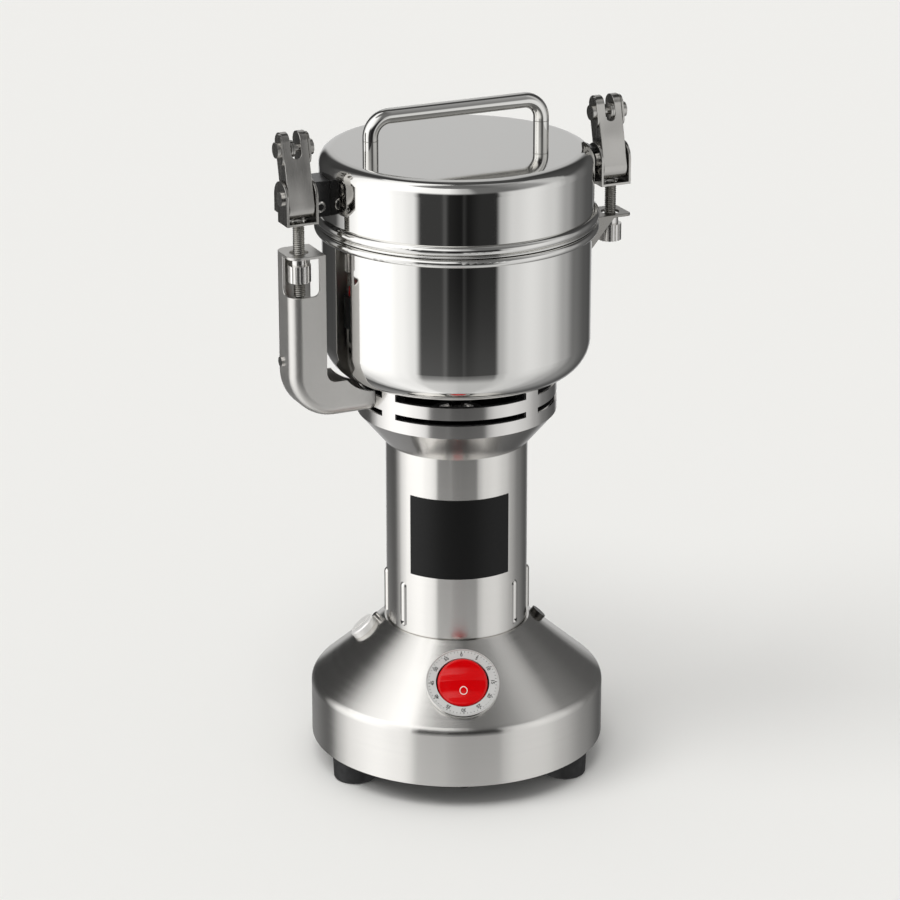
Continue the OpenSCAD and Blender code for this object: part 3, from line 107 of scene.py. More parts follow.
def roundPlace(tree, along, across):
    # object coordinates unrolled about Z: distance from the axis, angle and height, each scaled
    split = addNode(tree, "ShaderNodeSeparateXYZ", {0: objectPlace(tree)})
    flat = addNode(tree, "ShaderNodeCombineXYZ", {0: split.outputs[0], 1: split.outputs[1]})
    reach = addNode(tree, "ShaderNodeVectorMath", {0: flat.outputs[0]}, operation="LENGTH")
    angle = addNode(tree, "ShaderNodeMath", {0: split.outputs[1], 1: split.outputs[0]}, operation="ARCTAN2")
    turned = addNode(tree, "ShaderNodeMath", {0: angle.outputs[0], 1: along}, operation="MULTIPLY")
    out = addNode(tree, "ShaderNodeMath", {0: reach.outputs["Value"], 1: across}, operation="MULTIPLY")
    up = addNode(tree, "ShaderNodeMath", {0: split.outputs[2], 1: across}, operation="MULTIPLY")
    unrolled = addNode(tree, "ShaderNodeCombineXYZ", {0: out.outputs[0], 1: turned.outputs[0],
                                                      2: up.outputs[0]})
    return unrolled.outputs[0]


def stretched(tree, scale):
    return addNode(tree, "ShaderNodeMapping", {"Vector": objectPlace(tree), "Scale": scale}).outputs[0]


def roughen(tree, shader, place, scale, low, high):
    # noise that moves the roughness between two values, returned for colour or bump
    noise = addNode(tree, "ShaderNodeTexNoise", {"Vector": place, "Scale": scale, "Detail": 3.0})
    span = addNode(tree, "ShaderNodeMapRange", {"Value": noise.outputs["Fac"], "From Min": 0.3,
                                                "From Max": 0.7, "To Min": low, "To Max": high})
    tree.links.new(span.outputs[0], shader.inputs["Roughness"])
    return noise.outputs["Fac"]


def addBump(tree, shader, height, depth, strength=1.0):
    bump = addNode(tree, "ShaderNodeBump", {"Height": height, "Distance": depth, "Strength": strength})
    tree.links.new(bump.outputs[0], shader.inputs["Normal"])
    return bump


def tintColour(tree, shader, fac, dark, light):
    # colour variation between two close tones
    mix = addNode(tree, "ShaderNodeMix", {"Factor": fac}, data_type="RGBA")
    mix.inputs["A"].default_value = hexColour(dark)
    mix.inputs["B"].default_value = hexColour(light)
    tree.links.new(mix.outputs["Result"], shader.inputs["Base Color"])


# in metres and degrees
camera = {
    "azimuth": -25.0,  # 0 looks along +Y
    "elevation": 20.16,
    "distance": 1.81205,
    "targetZ": mm(170.889),
    "framePixels": 900,  # width and height of the picture that the next two are measured in
    "focalPixels": 3472.87,
    "centreX": 456.63,
    "sensorWidth": 36,
    "nearest": 0.05,
    "farthest": 50,
}

azimuth = math.radians(camera["azimuth"])
elevation = math.radians(camera["elevation"])
backward = Vector((math.sin(azimuth) * math.cos(elevation), -math.cos(azimuth) * math.cos(elevation),
                   math.sin(elevation)))
target = Vector((0, 0, camera["targetZ"]))
cameraData = bpy.data.cameras.new("camera")
cameraData.sensor_width = camera["sensorWidth"]
cameraData.sensor_fit = "HORIZONTAL"
cameraData.lens = camera["focalPixels"] / camera["framePixels"] * camera["sensorWidth"]
cameraData.shift_x = (camera["framePixels"] / 2 - camera["centreX"]) / camera["framePixels"]
cameraData.clip_start = camera["nearest"]
cameraData.clip_end = camera["farthest"]
cameraObject = bpy.data.objects.new("camera", cameraData)
cameraObject.location = target + backward * camera["distance"]
cameraObject.rotation_euler = (-backward).to_track_quat("-Z", "Y").to_euler()
bpy.context.scene.collection.objects.link(cameraObject)
bpy.context.scene.camera = cameraObject
print("camera placed")


# studio: pale floor, soft light, and a tent of reflector cards that only gloss sees
studio = {
    "floorColour": "#f0f0ee",
    "floorSize": 16.0,
    "worldColour": "#f3f2f1",
    "worldLevel": 0.63,
    "lightColour": (1.0, 0.995, 0.985),
    "lightDistance": 2.0,
}

# heights in metres; a zone's two numbers are where the cards below it fade out and its own are full
tentShape = {
    "radius": 0.62,
    "top": 1.35,
    "bottom": -0.9,
    "segments": 96,
    "wallZone": (-0.36, 0.13),
    "bandZone": (0.42, 0.60),
    "ceilingZone": (1.22, 1.35),
    "brightest": 2.0,  # a ramp holds levels up to 1, so the cards are divided by this and the glow multiplied
}

# large soft lights: level, turn from the camera's side, rise and softness in degrees
softLights = {"windowLight": (0.95, -62.0, 50.0, 34.0), "frontLight": (0.7, -10.0, 62.0, 24.0)}

# cards of the tent's wall: turn from the camera's side in degrees, to the right, and level
wallCards = [
    (-180, 0.62), (-162, 0.62), (-154, 0.04), (-130, 0.06), (-116, 0.08), (-106, 0.50), (-97, 1.10),
    (-78, 1.45), (-58, 1.40), (-46, 1.20), (-34, 1.00), (-28, 0.05), (-12, 0.05), (-9, 0.11),
    (-6, 0.02), (4, 0.012), (6, 0.045), (8, 0.012), (20, 0.03), (31, 0.03), (35, 0.52),
    (45, 0.80), (62, 0.92), (82, 0.76), (100, 0.42), (114, 0.18), (135, 0.10), (150, 0.08),
    (156, 0.30), (162, 0.62), (180, 0.62),
]
# the same for what lies below the wall, where surfaces that face down see the pale floor
floorCards = [
    (-180, 0.40), (-150, 0.30), (-112, 0.12), (-102, 0.50), (-88, 0.90), (-64, 1.15), (-42, 1.05),
    (-30, 0.76), (-16, 0.72), (8, 0.58), (28, 0.58), (50, 0.74), (70, 0.70), (90, 0.48),
    (112, 0.30), (150, 0.10), (180, 0.40),
]
# the same for the band between wall and ceiling
bandCards = [
    (-180, 0.60), (-165, 0.55), (-150, 0.06), (-128, 0.05), (-116, 0.12), (-104, 0.70), (-94, 1.25),
    (-60, 1.55), (-10, 1.15), (8, 0.55), (18, 0.18), (40, 0.18), (70, 0.34), (86, 0.62),
    (98, 0.55), (107, 0.08), (150, 0.05), (165, 0.55), (180, 0.60),
]
# the same for the ceiling
ceilingCards = [
    (-180, 0.08), (-125, 0.05), (-110, 1.10), (-66, 1.45), (-52, 0.34), (-25, 0.18), (40, 0.15),
    (60, 0.24), (92, 0.42), (108, 0.06), (180, 0.08),
]


def smoothStage(name, bm, material):
    mesh = bpy.data.meshes.new(name)
    bm.to_mesh(mesh)
    bm.free()
    mesh.materials.append(material)
    for face in mesh.polygons:
        face.use_smooth = True
    made = bpy.data.objects.new(name, mesh)
    bpy.context.scene.collection.objects.link(made)
    return made


def floorFinish():
    # matt white board: no gloss, so only the soft shadow shows
    return newMaterial("studioBoard", studio["floorColour"], 0.0, 1.0, Specular_IOR_Level=0.0)[0]


def cardRamp(tree, share, cards):
    ramp = addNode(tree, "ShaderNodeValToRGB", {"Fac": share})
    setRamp(ramp, [((turned + 180) / 360, level / tentShape["brightest"]) for turned, level in cards])
    return ramp.outputs[0]


def heightBlend(tree, height, zone, below, above):
    # one colour below, another above, and a soft change between the zone's two heights
    share = addNode(tree, "ShaderNodeMapRange", {"Value": height, "From Min": zone[0], "From Max": zone[1],
                                                 "To Min": 0.0, "To Max": 1.0},
                    interpolation_type="SMOOTHSTEP")
    mix = addNode(tree, "ShaderNodeMix", {"Factor": share.outputs[0]}, data_type="RGBA")
    for socket, source in (("A", below), ("B", above)):
        tree.links.new(source, mix.inputs[socket])
    return mix.outputs["Result"]


def tentFinish():
    # brightness by turn in four zones, from the pale floor at the bottom to the ceiling
    material = bpy.data.materials.new("reflectorCards")
    material.use_nodes = True
    tree = material.node_tree
    tree.nodes.clear()
    split = addNode(tree, "ShaderNodeSeparateXYZ", {0: objectPlace(tree)})
    height = split.outputs[2]
    front = addNode(tree, "ShaderNodeMath", {0: split.outputs[1], 1: -1.0}, operation="MULTIPLY")
    turn = addNode(tree, "ShaderNodeMath", {0: split.outputs[0], 1: front.outputs[0]}, operation="ARCTAN2")
    spread = addNode(tree, "ShaderNodeMapRange", {"Value": turn.outputs[0], "From Min": -math.pi,
                                                  "From Max": math.pi, "To Min": 0.0, "To Max": 1.0})
    share = spread.outputs[0]
    colour = cardRamp(tree, share, floorCards)
    for zone, cards in (("wallZone", wallCards), ("bandZone", bandCards), ("ceilingZone", ceilingCards)):
        colour = heightBlend(tree, height, tentShape[zone], colour, cardRamp(tree, share, cards))
    glow = addNode(tree, "ShaderNodeEmission", {"Color": colour, "Strength": tentShape["brightest"]})
    addNode(tree, "ShaderNodeOutputMaterial", {"Surface": glow.outputs[0]})
    return material


def makeFloor():
    bm = bmesh.new()
    bmesh.ops.create_grid(bm, x_segments=1, y_segments=1, size=studio["floorSize"] / 2)
    floor = smoothStage("floor", bm, floorFinish())
    floor.visible_glossy = False


def makeTent():
    # a closed tube that faces inwards
    bm = bmesh.new()
    low, high = tentShape["bottom"], tentShape["top"]
    bmesh.ops.create_cone(bm, cap_ends=True, segments=tentShape["segments"], radius1=tentShape["radius"],
                          radius2=tentShape["radius"], depth=high - low,
                          matrix=Matrix.Translation((0, 0, (high + low) / 2)))
    bmesh.ops.reverse_faces(bm, faces=bm.faces)
    tent = smoothStage("tent", bm, tentFinish())
    tent.rotation_euler = (0, 0, azimuth)  # its -Y points at the camera
    for flag in ("camera", "diffuse", "transmission", "volume_scatter", "shadow"):
        setattr(tent, "visible_" + flag, False)


def makeLight(name, level, turn, rise, softness):
    data = bpy.data.lights.new(name, "SUN")
    data.angle = math.radians(softness)
    data.energy = level
    data.color = studio["lightColour"]
    light = bpy.data.objects.new(name, data)
    side, up = azimuth + math.radians(turn), math.radians(rise)
    towards = Vector((math.sin(side) * math.cos(up), -math.cos(side) * math.cos(up), math.sin(up)))
    light.location = target + towards * studio["lightDistance"]
    light.rotation_euler = (-towards).to_track_quat("-Z", "Y").to_euler()
    light.visible_glossy = False
    bpy.context.scene.collection.objects.link(light)


makeFloor()
makeTent()
for name, values in softLights.items():
    makeLight(name, *values)

world = bpy.data.worlds.new("studioRoom")
world.use_nodes = True
sky = world.node_tree.nodes["Background"]
sky.inputs["Color"].default_value = hexColour(studio["worldColour"])
sky.inputs["Strength"].default_value = studio["worldLevel"]
bpy.context.scene.world = world
bpy.context.scene.view_settings.view_transform = "Standard"
print("studio lit")


def spinGrain(tree, shader, stretch):
    # ground round the axis: light is drawn out across the grinding, along the part
    way = addNode(tree, "ShaderNodeTangent", direction_type="RADIAL", axis="Z")
    tree.links.new(way.outputs[0], shader.inputs["Tangent"])
    shader.inputs["Anisotropic"].default_value = stretch
    shader.inputs["Anisotropic Rotation"].default_value = 0.25


def satinSpun():
    # spun stainless, ground round its axis: fans of light on the cone, faint rings
    material, tree, shader = newMaterial("satinSpunStainless", "#e4e2de", 1.0, 0.2)
    spinGrain(tree, shader, 0.93)
    rings = roughen(tree, shader, roundPlace(tree, 0.25, 1000.0), 0.9, 0.18, 0.23)
    tintColour(tree, shader, rings, "#e1dfdb", "#e7e5e1")
    addBump(tree, shader, rings, 0.000004, 0.5)  # rings drawn 1 mm apart to show
    return material


def satinTube():
    # rolled stainless tube, brushed round in lines drawn 0.8 mm apart to show
    material, tree, shader = newMaterial("satinTubeStainless", "#e6e4e0", 1.0, 0.18)
    spinGrain(tree, shader, 0.95)
    rings = roughen(tree, shader, roundPlace(tree, 0.3, 1000.0), 1.2, 0.17, 0.195)
    tintColour(tree, shader, rings, "#e3e1dd", "#e9e7e3")
    return material


def turnedSteel():
    # lathe-turned steel: clean rings, drawn 0.8 mm apart to show, a little brighter than the sheet
    material, tree, shader = newMaterial("turnedStainless", "#e2e0dd", 1.0, 0.18)
    rings = roughen(tree, shader, roundPlace(tree, 0.3, 1000.0), 1.2, 0.15, 0.22)
    addBump(tree, shader, rings, 0.000006, 0.5)
    return material


# outside of the neck in mm: its flare runs from the foot to the band, then straight up; the painted
# shade is full from the skin's depth inwards, past a short fade
neck = {"footRadius": 37.8, "footHeight": 179.1, "bandRadius": 51.8, "bandHeight": 195.6, "skin": 1.2,
        "fade": 0.3}


def neckSteel():
    # turned neck; its inside is painted near-black as painted shade, which the slots show
    material, tree, shader = newMaterial("turnedNeckStainlessPaintedShade", "#e2e0dd", 1.0, 0.17)
    split = addNode(tree, "ShaderNodeSeparateXYZ", {0: roundPlace(tree, 1.0, 1000.0)})
    climb = (neck["bandRadius"] - neck["footRadius"]) / (neck["bandHeight"] - neck["footHeight"])
    flare = addNode(tree, "ShaderNodeMath", {0: split.outputs[2], 1: climb,
                                             2: neck["footRadius"] - neck["footHeight"] * climb},
                    operation="MULTIPLY_ADD")
    limit = addNode(tree, "ShaderNodeMath", {0: flare.outputs[0], 1: neck["bandRadius"]}, operation="MINIMUM")
    depth = addNode(tree, "ShaderNodeMath", {0: limit.outputs[0], 1: split.outputs[0]}, operation="SUBTRACT")
    outer = addNode(tree, "ShaderNodeMapRange", {"Value": depth.outputs[0], "From Min": neck["skin"],
                                                 "From Max": neck["skin"] - neck["fade"], "To Min": 0.0,
                                                 "To Max": 1.0})
    # painted shade: near-black, dull and not metallic inside the neck, steel on its outside
    tintColour(tree, shader, outer.outputs[0], "#0b0b0b", "#e2e0dd")
    rough = addNode(tree, "ShaderNodeMapRange", {"Value": outer.outputs[0], "To Min": 0.8, "To Max": 0.16})
    tree.links.new(rough.outputs[0], shader.inputs["Roughness"])
    tree.links.new(outer.outputs[0], shader.inputs["Metallic"])
    return material


def capSteel():
    # nickel-plated cap, satin and pale, its grain drawn 1 mm wide to show
    material, tree, shader = newMaterial("satinNickel", "#f4f3f1", 0.35, 0.36)
    grain = roughen(tree, shader, objectPlace(tree), 900.0, 0.34, 0.44)
    addBump(tree, shader, grain, 0.00001, 0.4)
    return material


def mirrorSteel():
    # polished stainless: crisp reflections, with the faintest waviness of pressed sheet, 45 mm long
    material, tree, shader = newMaterial("mirrorStainless", "#e3e2df", 1.0, 0.05)
    roughen(tree, shader, roundPlace(tree, 0.05, 60.0), 1.0, 0.035, 0.075)
    wave = addNode(tree, "ShaderNodeTexNoise", {"Vector": objectPlace(tree), "Scale": 22.0, "Detail": 1.0})
    addBump(tree, shader, wave.outputs["Fac"], 0.00012, 0.5)
    return material


def blastedSteel():
    # bead-blasted sheet: even, grey and soft, with a fine grain
    material, tree, shader = newMaterial("beadBlastedStainless", "#d6d4d0", 1.0, 0.36)
    grain = roughen(tree, shader, objectPlace(tree), 1400.0, 0.3, 0.42)
    addBump(tree, shader, grain, 0.00003, 0.5)  # grains drawn 0.7 mm wide to show
    return material


def latchSteel():
    # pressed and tumbled steel of the latches, brushed along their length
    material, tree, shader = newMaterial("brushedLatchSteel", "#bab8b4", 1.0, 0.22)
    lines = roughen(tree, shader, stretched(tree, (900, 900, 40)), 1.0, 0.17, 0.27)
    tintColour(tree, shader, lines, "#b4b2ae", "#c2c0bc")
    bowed = addNode(tree, "ShaderNodeTexNoise", {"Vector": objectPlace(tree), "Scale": 45.0, "Detail": 0.0})
    waves = addNode(tree, "ShaderNodeBump", {"Height": bowed.outputs["Fac"], "Distance": 0.002})
    fine = addBump(tree, shader, lines, 0.000008, 0.5)  # lines drawn 1 mm apart to show
    tree.links.new(waves.outputs[0], fine.inputs["Normal"])  # under them, faces bow over 20 mm
    return material


def bracketSteel():
    # welded bracket, dull steel darker than the latches, mottled every 1.2 mm
    material, tree, shader = newMaterial("darkerBracketSteel", "#94928e", 1.0, 0.3)
    grain = roughen(tree, shader, objectPlace(tree), 800.0, 0.25, 0.36)
    tintColour(tree, shader, grain, "#8a8884", "#9e9c98")
    return material


def zincSteel():
    # zinc-plated fasteners: neutral, with clouds 2 mm wide
    material, tree, shader = newMaterial("zincPlatedSteel", "#c5c6c6", 1.0, 0.3)
    cloud = roughen(tree, shader, objectPlace(tree), 500.0, 0.24, 0.38)
    tintColour(tree, shader, cloud, "#b8b9ba", "#d0d1d1")
    return material


def darkSteel():
    # black-oxide thread, rubbed bright in spots 1.7 mm wide
    material, tree, shader = newMaterial("oxideSteel", "#9c9a95", 1.0, 0.26)
    worn = roughen(tree, shader, objectPlace(tree), 600.0, 0.2, 0.34)
    tintColour(tree, shader, worn, "#82807b", "#b4b2ad")
    return material


def plugSteel():
    # dark oxide screw head, worn in spots 1 mm wide
    material, tree, shader = newMaterial("darkPlugSteel", "#4a4846", 1.0, 0.3)
    worn = roughen(tree, shader, objectPlace(tree), 900.0, 0.24, 0.38)
    tintColour(tree, shader, worn, "#3c3a38", "#565450")
    return material


def blackZinc():
    # black zinc on the base's hidden underside, made dark as painted shade to deepen the shadow under the
    # base, with clouds 2 mm wide
    material, tree, shader = newMaterial("blackZincPaintedShadeSteel", "#343434", 1.0, 0.4)
    worn = roughen(tree, shader, objectPlace(tree), 500.0, 0.34, 0.48)
    tintColour(tree, shader, worn, "#2a2a2b", "#40403f")
    return material


def dialAlloy():
    # anodised aluminium: fine, bright and neutral, its grain drawn 0.7 mm wide to show
    material, tree, shader = newMaterial("anodisedDialAluminium", "#cfcfcd", 0.35, 0.4)
    grain = roughen(tree, shader, objectPlace(tree), 1500.0, 0.36, 0.46)
    addBump(tree, shader, grain, 0.00001, 0.4)
    return material


def castAlloy():
    # die-cast aluminium with its cool, slightly pitted skin, pits 1 mm apart
    material, tree, shader = newMaterial("dieCastAluminium", "#9fa2a4", 1.0, 0.45)
    grain = roughen(tree, shader, objectPlace(tree), 900.0, 0.38, 0.55)
    addBump(tree, shader, grain, 0.00005, 0.6)
    return material


def laminatedIron():
    # stacked electrical sheet: plates along the axis, drawn 1 mm thick to show
    material, tree, shader = newMaterial("laminatedIron", "#5c5f63", 0.9, 0.5)
    sheets = addNode(tree, "ShaderNodeTexWave", {"Vector": objectPlace(tree), "Scale": 300.0},
                     bands_direction="Z")
    tintColour(tree, shader, sheets.outputs["Fac"], "#494c50", "#6d7074")
    addBump(tree, shader, sheets.outputs["Fac"], 0.00005, 0.5)
    return material


def enamelledCopper():
    # varnished winding wire, drawn 1 mm thick to show
    material, tree, shader = newMaterial("enamelledCopper", "#b5673a", 1.0, 0.34)
    wires = addNode(tree, "ShaderNodeTexWave", {"Vector": objectPlace(tree), "Scale": 320.0,
                                                "Distortion": 1.5}, bands_direction="Z")
    tintColour(tree, shader, wires.outputs["Fac"], "#8d4a26", "#c87b4a")
    addBump(tree, shader, wires.outputs["Fac"], 0.0002, 0.7)
    return material


def blackEnamel():
    # stoved black paint on the lug blocks, with a slight orange peel, 1.4 mm wide
    material, tree, shader = newMaterial("blackStoveEnamel", "#1b1b1c", 0.0, 0.3, Coat_Weight=0.4,
                                         Coat_Roughness=0.15)
    peel = roughen(tree, shader, objectPlace(tree), 700.0, 0.26, 0.4)
    addBump(tree, shader, peel, 0.00004, 0.5)
    return material


def blackMoulding():
    # moulded black nylon, matt with a spark-eroded grain, drawn 0.8 mm wide to show
    material, tree, shader = newMaterial("blackNylon", "#1c1c1d", 0.0, 0.5)
    grain = roughen(tree, shader, objectPlace(tree), 1200.0, 0.44, 0.6)
    addBump(tree, shader, grain, 0.00004, 0.6)
    return material


def ivoryMoulding():
    # ivory thermoset of terminal blocks, its skin uneven every 1 mm
    material, tree, shader = newMaterial("ivoryThermoset", "#e2dcc6", 0.0, 0.42)
    grain = roughen(tree, shader, objectPlace(tree), 900.0, 0.36, 0.5)
    addBump(tree, shader, grain, 0.00003, 0.4)
    return material


def redMoulding():
    # glossy red polycarbonate of a lit rocker: deep colour under a clear skin, clouded over 6 mm
    material, tree, shader = newMaterial("redPolycarbonate", "#cc0006", 0.0, 0.1, Specular_IOR_Level=0.42,
                                         Subsurface_Weight=0.04)
    shader.inputs["Subsurface Radius"].default_value = (0.002, 0.0004, 0.0003)
    cloud = addNode(tree, "ShaderNodeTexNoise", {"Vector": objectPlace(tree), "Scale": 160.0, "Detail": 2.0})
    tintColour(tree, shader, cloud.outputs["Fac"], "#c40005", "#d40006")
    return material


def footRubber():
    # black natural rubber, dull with a bloom on it in patches 4 mm wide
    material, tree, shader = newMaterial("blackRubber", "#19191a", 0.0, 0.62)
    bloom = roughen(tree, shader, objectPlace(tree), 260.0, 0.5, 0.75)
    tintColour(tree, shader, bloom, "#151516", "#202021")
    addBump(tree, shader, bloom, 0.00006, 0.5)
    return material


def sealRubber():
    # dark silicone, with a haze in patches 3 mm wide
    material, tree, shader = newMaterial("darkSilicone", "#2a2a2a", 0.0, 0.5)
    roughen(tree, shader, objectPlace(tree), 300.0, 0.42, 0.6)
    return material


def labelFilm():
    # black anodised foil of a bare label, satin under a clear film, its grain drawn 0.7 mm wide
    material, tree, shader = newMaterial("blackLabelFoil", "#0c0c0c", 0.0, 0.42, Specular_IOR_Level=0.25)
    grain = roughen(tree, shader, objectPlace(tree), 1500.0, 0.36, 0.5)
    addBump(tree, shader, grain, 0.00001, 0.4)
    return material


def paint(name, colour, roughness):
    # printed ink, and flat black as painted shade: even colour with a grain in its gloss, drawn 0.7 mm wide
    material, tree, shader = newMaterial(name, colour, 0.0, roughness)
    roughen(tree, shader, objectPlace(tree), 1500.0, roughness * 0.85, roughness * 1.15)
    return material


finishes = {
    "satin_steel": satinSpun(), "turned_steel": turnedSteel(), "polished_steel": mirrorSteel(),
    "blasted_steel": blastedSteel(), "latch_steel": latchSteel(), "zinc_steel": zincSteel(),
    "dark_steel": darkSteel(), "dial_metal": dialAlloy(), "cast_alloy": castAlloy(),
    "lamination": laminatedIron(), "copper": enamelledCopper(), "lug_black": blackEnamel(),
    "black_plastic": blackMoulding(), "ivory_plastic": ivoryMoulding(), "red_plastic": redMoulding(),
    "foot_rubber": footRubber(), "seal_rubber": sealRubber(),
}
# parts whose finish differs from the rest of their slot
# the base plate and its screws are made black as painted shade, to deepen the shadow under the base
special = {"motor_tube": satinTube(), "side_plug": plugSteel(), "neck": neckSteel(), "fuse_cap": capSteel(),
           "right_bracket": bracketSteel(), "base_plate": blackZinc(), "base_screws": blackZinc()}

slotOf = {part["node"]: part["material_slot"] for part in frame["record"]["subparts"]}
for name, node in nodes.items():
    for slot in node.material_slots:
        slot.material = special.get(name) or finishes[slotOf[name]]
print("finishes on:", len(nodes), "parts")


def onCone(turn, reach, height, slope):
    # frame of what stands on the cone: +Z out of it, +Y up the slope
    return (Matrix.Rotation(math.radians(turn), 4, "Z") @ Matrix.Translation((0, -mm(reach), mm(height)))
            @ Matrix.Rotation(math.radians(slope), 4, "X"))


def finishPiece(name, bm, material, body, place=None, smooth=True, sharpAngle=35.0, replaced=()):
    # bmesh to object: closed up, set in place, edges past the angle kept sharp, and riding on its body
    bmesh.ops.remove_doubles(bm, verts=bm.verts, dist=1e-7)
    bmesh.ops.recalc_face_normals(bm, faces=bm.faces)
    if place is not None:
        bm.transform(place)
    limit = math.radians(sharpAngle)
    for edge in bm.edges:
        edge.smooth = len(edge.link_faces) != 2 or edge.calc_face_angle(0.0) < limit
    for face in bm.faces:
        face.smooth = smooth
    mesh = bpy.data.meshes.new(name)
    bm.to_mesh(mesh)
    bm.free()
    mesh.materials.append(material)
    piece = bpy.data.objects.new(name, mesh)
    bpy.context.scene.collection.objects.link(piece)
    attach(piece, body)
    if replaced:
        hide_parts(*replaced)
    return piece


def addChain(bm, points, closed=False):
    # points in mm, as (radius, height) in the XZ plane
    verts = [bm.verts.new((mm(x), 0, mm(z))) for x, z in points]
    pairs = list(zip(verts, verts[1:])) + ([(verts[-1], verts[0])] if closed else [])
    return verts, [bm.edges.new(pair) for pair in pairs]


def spinRing(bm, points, steps=48, closed=True):
    verts, edges = addChain(bm, points, closed)
    bmesh.ops.spin(bm, geom=verts + edges, cent=(0, 0, 0), axis=(0, 0, 1), steps=steps, angle=2 * math.pi,
                   use_merge=True)


def addBlock(bm, size, place):
    made = bmesh.ops.create_cube(bm, size=1.0)
    bmesh.ops.scale(bm, vec=[mm(side) for side in size], verts=made["verts"])
    bmesh.ops.transform(bm, matrix=place, verts=made["verts"])


def addedSince(bm, before):
    return [vert for vert in bm.verts if vert not in before]


bodyOf = {node: body for body, held in frame["record"]["behaviour"]["bodies"].items() for node in held}

# pressed and sawn parts, their edges broken by tumbling: width of the rounding in mm, and at which
# angles between faces, in degrees, an edge is left out as flat, or is rounded
softened = {"left_lever": 0.3, "right_lever": 0.3, "left_yoke": 0.2, "right_yoke": 0.2, "latch_arm": 0.3,
            "right_bracket": 0.3, "left_lug": 0.35, "right_lug": 0.35}
tumbling = {"weld": mm(0.002), "flatBelow": 0.5, "roundAbove": 40, "segments": 2, "sharpAngle": 50}


def softenNode(node, width):
    bm = bmesh.new()
    bm.from_mesh(nodes[node].data)
    bmesh.ops.remove_doubles(bm, verts=bm.verts, dist=tumbling["weld"])
    bmesh.ops.dissolve_limit(bm, angle_limit=math.radians(tumbling["flatBelow"]), verts=bm.verts,
                             edges=bm.edges)
    limit = math.radians(tumbling["roundAbove"])
    sharp = [edge for edge in bm.edges if edge.is_manifold and edge.calc_face_angle(0.0) > limit]
    bmesh.ops.bevel(bm, geom=sharp, offset=mm(width), offset_type="OFFSET", segments=tumbling["segments"],
                    profile=0.5, affect="EDGES", material=-1, clamp_overlap=False)
    first, second = node.split("_")
    finish = special.get(node) or finishes[slotOf[node]]
    piece = finishPiece(first + second.capitalize() + "Tumbled", bm, finish, bodyOf[node],
                        sharpAngle=tumbling["sharpAngle"], replaced=(node,))
    even = piece.modifiers.new("evenNormals", "WEIGHTED_NORMAL")  # keeps the flats flat beside the rounding
    even.keep_sharp = True


for node, width in softened.items():
    softenNode(node, width)
print("latches, arm and bracket softened")

# bare black label, bent round the motor tube, in mm and degrees
label = {"turn": -22.0, "halfSpan": 43.0, "low": 113.0, "high": 156.5, "tubeRadius": 37.0, "gap": 0.03,
         "thick": 0.25, "rows": 12, "steps": 48}


def makeLabel():
    bm = bmesh.new()
    radius, rows = label["tubeRadius"] + label["gap"], label["rows"]
    points = [(radius, label["low"] + (label["high"] - label["low"]) * i / rows) for i in range(rows + 1)]
    verts, edges = addChain(bm, points)
    bmesh.ops.rotate(bm, verts=verts, cent=(0, 0, 0),
                     matrix=Matrix.Rotation(math.radians(label["turn"] - 90 - label["halfSpan"]), 3, "Z"))
    bmesh.ops.spin(bm, geom=verts + edges, cent=(0, 0, 0), axis=(0, 0, 1), steps=label["steps"],
                   angle=math.radians(2 * label["halfSpan"]))
    bmesh.ops.recalc_face_normals(bm, faces=bm.faces)
    bmesh.ops.solidify(bm, geom=bm.faces[:], thickness=mm(label["thick"]))
    outwards = (radius + label["thick"]) / radius  # the wall grew inwards, so the foil is widened by it
    bmesh.ops.scale(bm, vec=(outwards, outwards, 1), verts=bm.verts)
    finishPiece("labelPlate", bm, labelFilm(), "base")


makeLabel()

# steel band round the gasket's edge, between the rims of bowl and lid, in mm
gasketBand = {"bulge": 0.7, "fullness": 0.6, "height": 1.4, "inset": 0.1, "rows": 8, "steps": 160}


def makeGasketBand():
    low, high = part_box("lid_gasket")
    edge, bottom, rows = high[0] * 1000, low[2] * 1000, gasketBand["rows"]
    points = [(edge + gasketBand["bulge"] * math.sin(math.pi * i / rows) ** gasketBand["fullness"],
               bottom + gasketBand["height"] * i / rows) for i in range(rows + 1)]
    inner, top = edge - gasketBand["inset"], bottom + gasketBand["height"]
    points += [(inner, top), (inner, bottom)]
    bm = bmesh.new()
    spinRing(bm, points, steps=gasketBand["steps"])
    finishPiece("gasketBand", bm, finishes["polished_steel"], "lid")


makeGasketBand()

# rolled threads of the clamp rods, in mm
thread = {"radius": 3.0, "depth": 0.5, "pitch": 1.0, "crest": (0.44, 0.56), "stepsPerTurn": 20,
          "coreSteps": 24, "overlap": 0.02, "chamferIn": 0.3, "chamferUp": 0.4, "sharpAngle": 50}


def makeRod(name, node, body):
    low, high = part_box(node)
    x, y = [(low[i] + high[i]) * 500 for i in (0, 1)]
    bottom, top = low[2] * 1000, high[2] * 1000
    radius, pitch = thread["radius"], thread["pitch"]
    core = radius - thread["depth"]
    turns = int((top - bottom) / pitch) - 1
    bm = bmesh.new()
    crestLow, crestHigh = [pitch * share for share in thread["crest"]]
    verts, edges = addChain(bm, [(core, 0), (radius, crestLow), (radius, crestHigh), (core, pitch)])
    bmesh.ops.translate(bm, verts=verts, vec=(0, 0, mm(bottom)))
    steps = turns * thread["stepsPerTurn"]
    bmesh.ops.spin(bm, geom=verts + edges, cent=(0, 0, 0), axis=(0, 0, 1), steps=steps,
                   angle=turns * 2 * math.pi, dvec=(0, 0, mm(turns * pitch / steps)))
    # a plain core closes the rod, with chamfered ends
    end, filled, chamfer = core - thread["chamferIn"], core + thread["overlap"], thread["chamferUp"]
    spinRing(bm, [(0, bottom), (end, bottom), (filled, bottom + chamfer), (filled, top - chamfer), (end, top),
                  (0, top)], steps=thread["coreSteps"], closed=False)
    finishPiece(name, bm, finishes["dark_steel"], body, Matrix.Translation((mm(x), mm(y), 0)),
                sharpAngle=thread["sharpAngle"], replaced=(node,))


